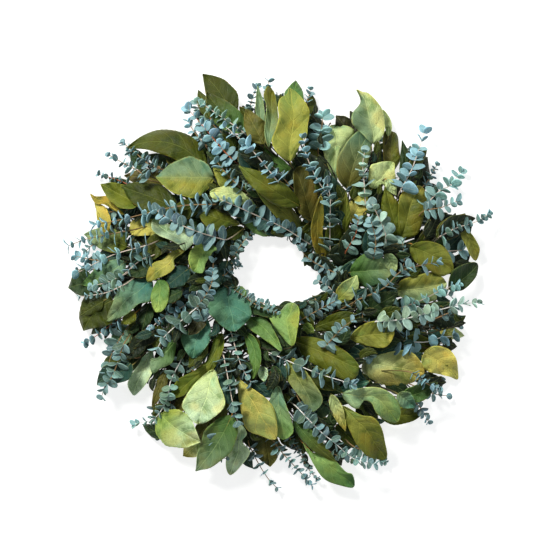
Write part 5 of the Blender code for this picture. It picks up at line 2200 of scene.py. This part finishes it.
@dataclass
class Wreath:
    """All sprays on their clamp ring."""

    late_spill: float = 0.45
    salal_core: float = 15.6
    eucalyptus_core: float = 8.4

    def lay_pile(self) -> Pile:
        """Lay the seen leaves and sprigs, then the growth below them.

        Returns:
            The pile with every item in its place.
        """
        items: list[Item] = [Leaf.from_row(row, i) for i, row in enumerate(SALAL_LEAVES)]
        items += [Sprig.from_row(row, i) for i, row in enumerate(EUCALYPTUS_SPRIGS)]
        items.sort(key=lambda item: item.layer)
        pile = Pile()
        for item in items:
            if item.layer > 0:
                pile.settle(item)
        pile.show()
        late = [item for item in items if item.layer == 0]
        kept = sum(pile.tuck(item, self.late_spill) for item in late)
        log.info("%d of %d late leaves and sprigs", kept, len(late))
        Undergrowth().fill(pile)
        pile.measure_room()
        return pile

    def build(self) -> None:
        """Make every piece of the wreath."""
        pile = self.lay_pile()
        seen = sum(item.layer >= 0 for item in pile.laid)
        log.info("%d seen leaves and sprigs, %d below them", seen, len(pile.laid) - seen)
        salal, silver = SalalFinish().material(), EucalyptusFinish().material()
        stalk, wood = StemFinish("salal_stalk_fine").material(), StemFinish().material()
        ClampRing().build(WireFinish().material())
        for bunch in range(FANS.bunches):
            own = [item for item in pile.laid if item.bunch == bunch]
            leaves = [item for item in own if isinstance(item, Leaf)]
            sprigs = [item for item in own if isinstance(item, Sprig)]
            SalalSpray(bunch, leaves, self.salal_core, Tone.TAN_STEM).build(salal, stalk)
            EucalyptusSpray(bunch, sprigs, self.eucalyptus_core, Tone.BARK).build(silver, wood)


@dataclass(frozen=True)
class Lamp:
    """A square soft light: its place and size in metres, its power in watts and its tint."""

    name: str
    place: Triple
    size: float
    power: float
    tint: Triple

    def light(self, target: Vector) -> None:
        """Hang the light and aim it.

        Args:
            target: The point that it is aimed at.
        """
        light = bpy.data.lights.new(self.name, "AREA")
        light.color = self.tint
        light.shape = "SQUARE"
        light.size = self.size
        light.energy = self.power
        lamp = bpy.data.objects.new(self.name, light)
        lamp.location = self.place
        way = target - Vector(self.place)
        lamp.rotation_euler = way.to_track_quat("-Z", "Y").to_euler()
        bpy.context.scene.collection.objects.link(lamp)


@dataclass
class Studio:
    """Pale floor, soft light and the camera that looks straight down.

    Lengths are in metres, apart from the width of the camera's sensor in millimetres.
    """

    frame_width: float = 0.7288
    distance: float = 3.2
    middle: Triple = (-0.0013, 0.0021, 0.05)
    sensor: float = 36.0
    floor_size: float = 12.0
    floor_level: float = -0.0004
    sky_colour: tuple[float, ...] = (0.94, 0.97, 1.0, 1.0)
    sky_strength: float = 0.23
    lamps: tuple[Lamp, ...] = (
        Lamp("key", (-1.2, 1.7, 2.4), 0.7, 108.0, (1.0, 0.985, 0.94)),
        Lamp("fill", (1.9, 0.9, 1.9), 1.6, 13.0, (0.88, 0.95, 1.0)),
    )

    def add_floor(self) -> None:
        """A plain pale floor just under the wreath."""
        half = self.floor_size / 2
        mesh = bpy.data.meshes.new("floor")
        points = [(-half, -half, 0), (half, -half, 0), (half, half, 0), (-half, half, 0)]
        mesh.from_pydata(points, [], [(0, 1, 2, 3)])
        mesh.materials.append(FloorFinish().material())
        floor = bpy.data.objects.new("floor", mesh)
        floor.location.z = self.floor_level
        bpy.context.scene.collection.objects.link(floor)

    def add_world(self) -> None:
        """A pale sky that lights evenly from all sides."""
        world = bpy.data.worlds.new("studio")
        world.use_nodes = True
        sky = world.node_tree.nodes["Background"].inputs
        sky["Color"].default_value = self.sky_colour
        sky["Strength"].default_value = self.sky_strength
        bpy.context.scene.world = world
        bpy.context.scene.view_settings.view_transform = "Standard"

    def add_camera(self) -> None:
        """The camera above the wreath, far enough off to flatten its depth."""
        camera = bpy.data.cameras.new("camera")
        camera.sensor_width = self.sensor
        camera.lens = self.sensor * self.distance / self.frame_width
        camera.clip_end = 20.0
        seat = bpy.data.objects.new("camera", camera)
        seat.location = (*self.middle[:2], self.middle[2] + self.distance)
        bpy.context.scene.collection.objects.link(seat)
        bpy.context.scene.camera = seat

    def build(self) -> None:
        """Add the floor, the lights, the pale world and the camera."""
        self.add_floor()
        for lamp in self.lamps:
            lamp.light(Vector(self.middle))
        self.add_world()
        self.add_camera()


def main() -> None:
    """Build the wreath around the frame, then the studio."""
    logging.basicConfig(level=logging.INFO, format="%(name)s: %(message)s")
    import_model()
    Wreath().build()
    Studio().build()


if __name__ == "__main__":
    main()
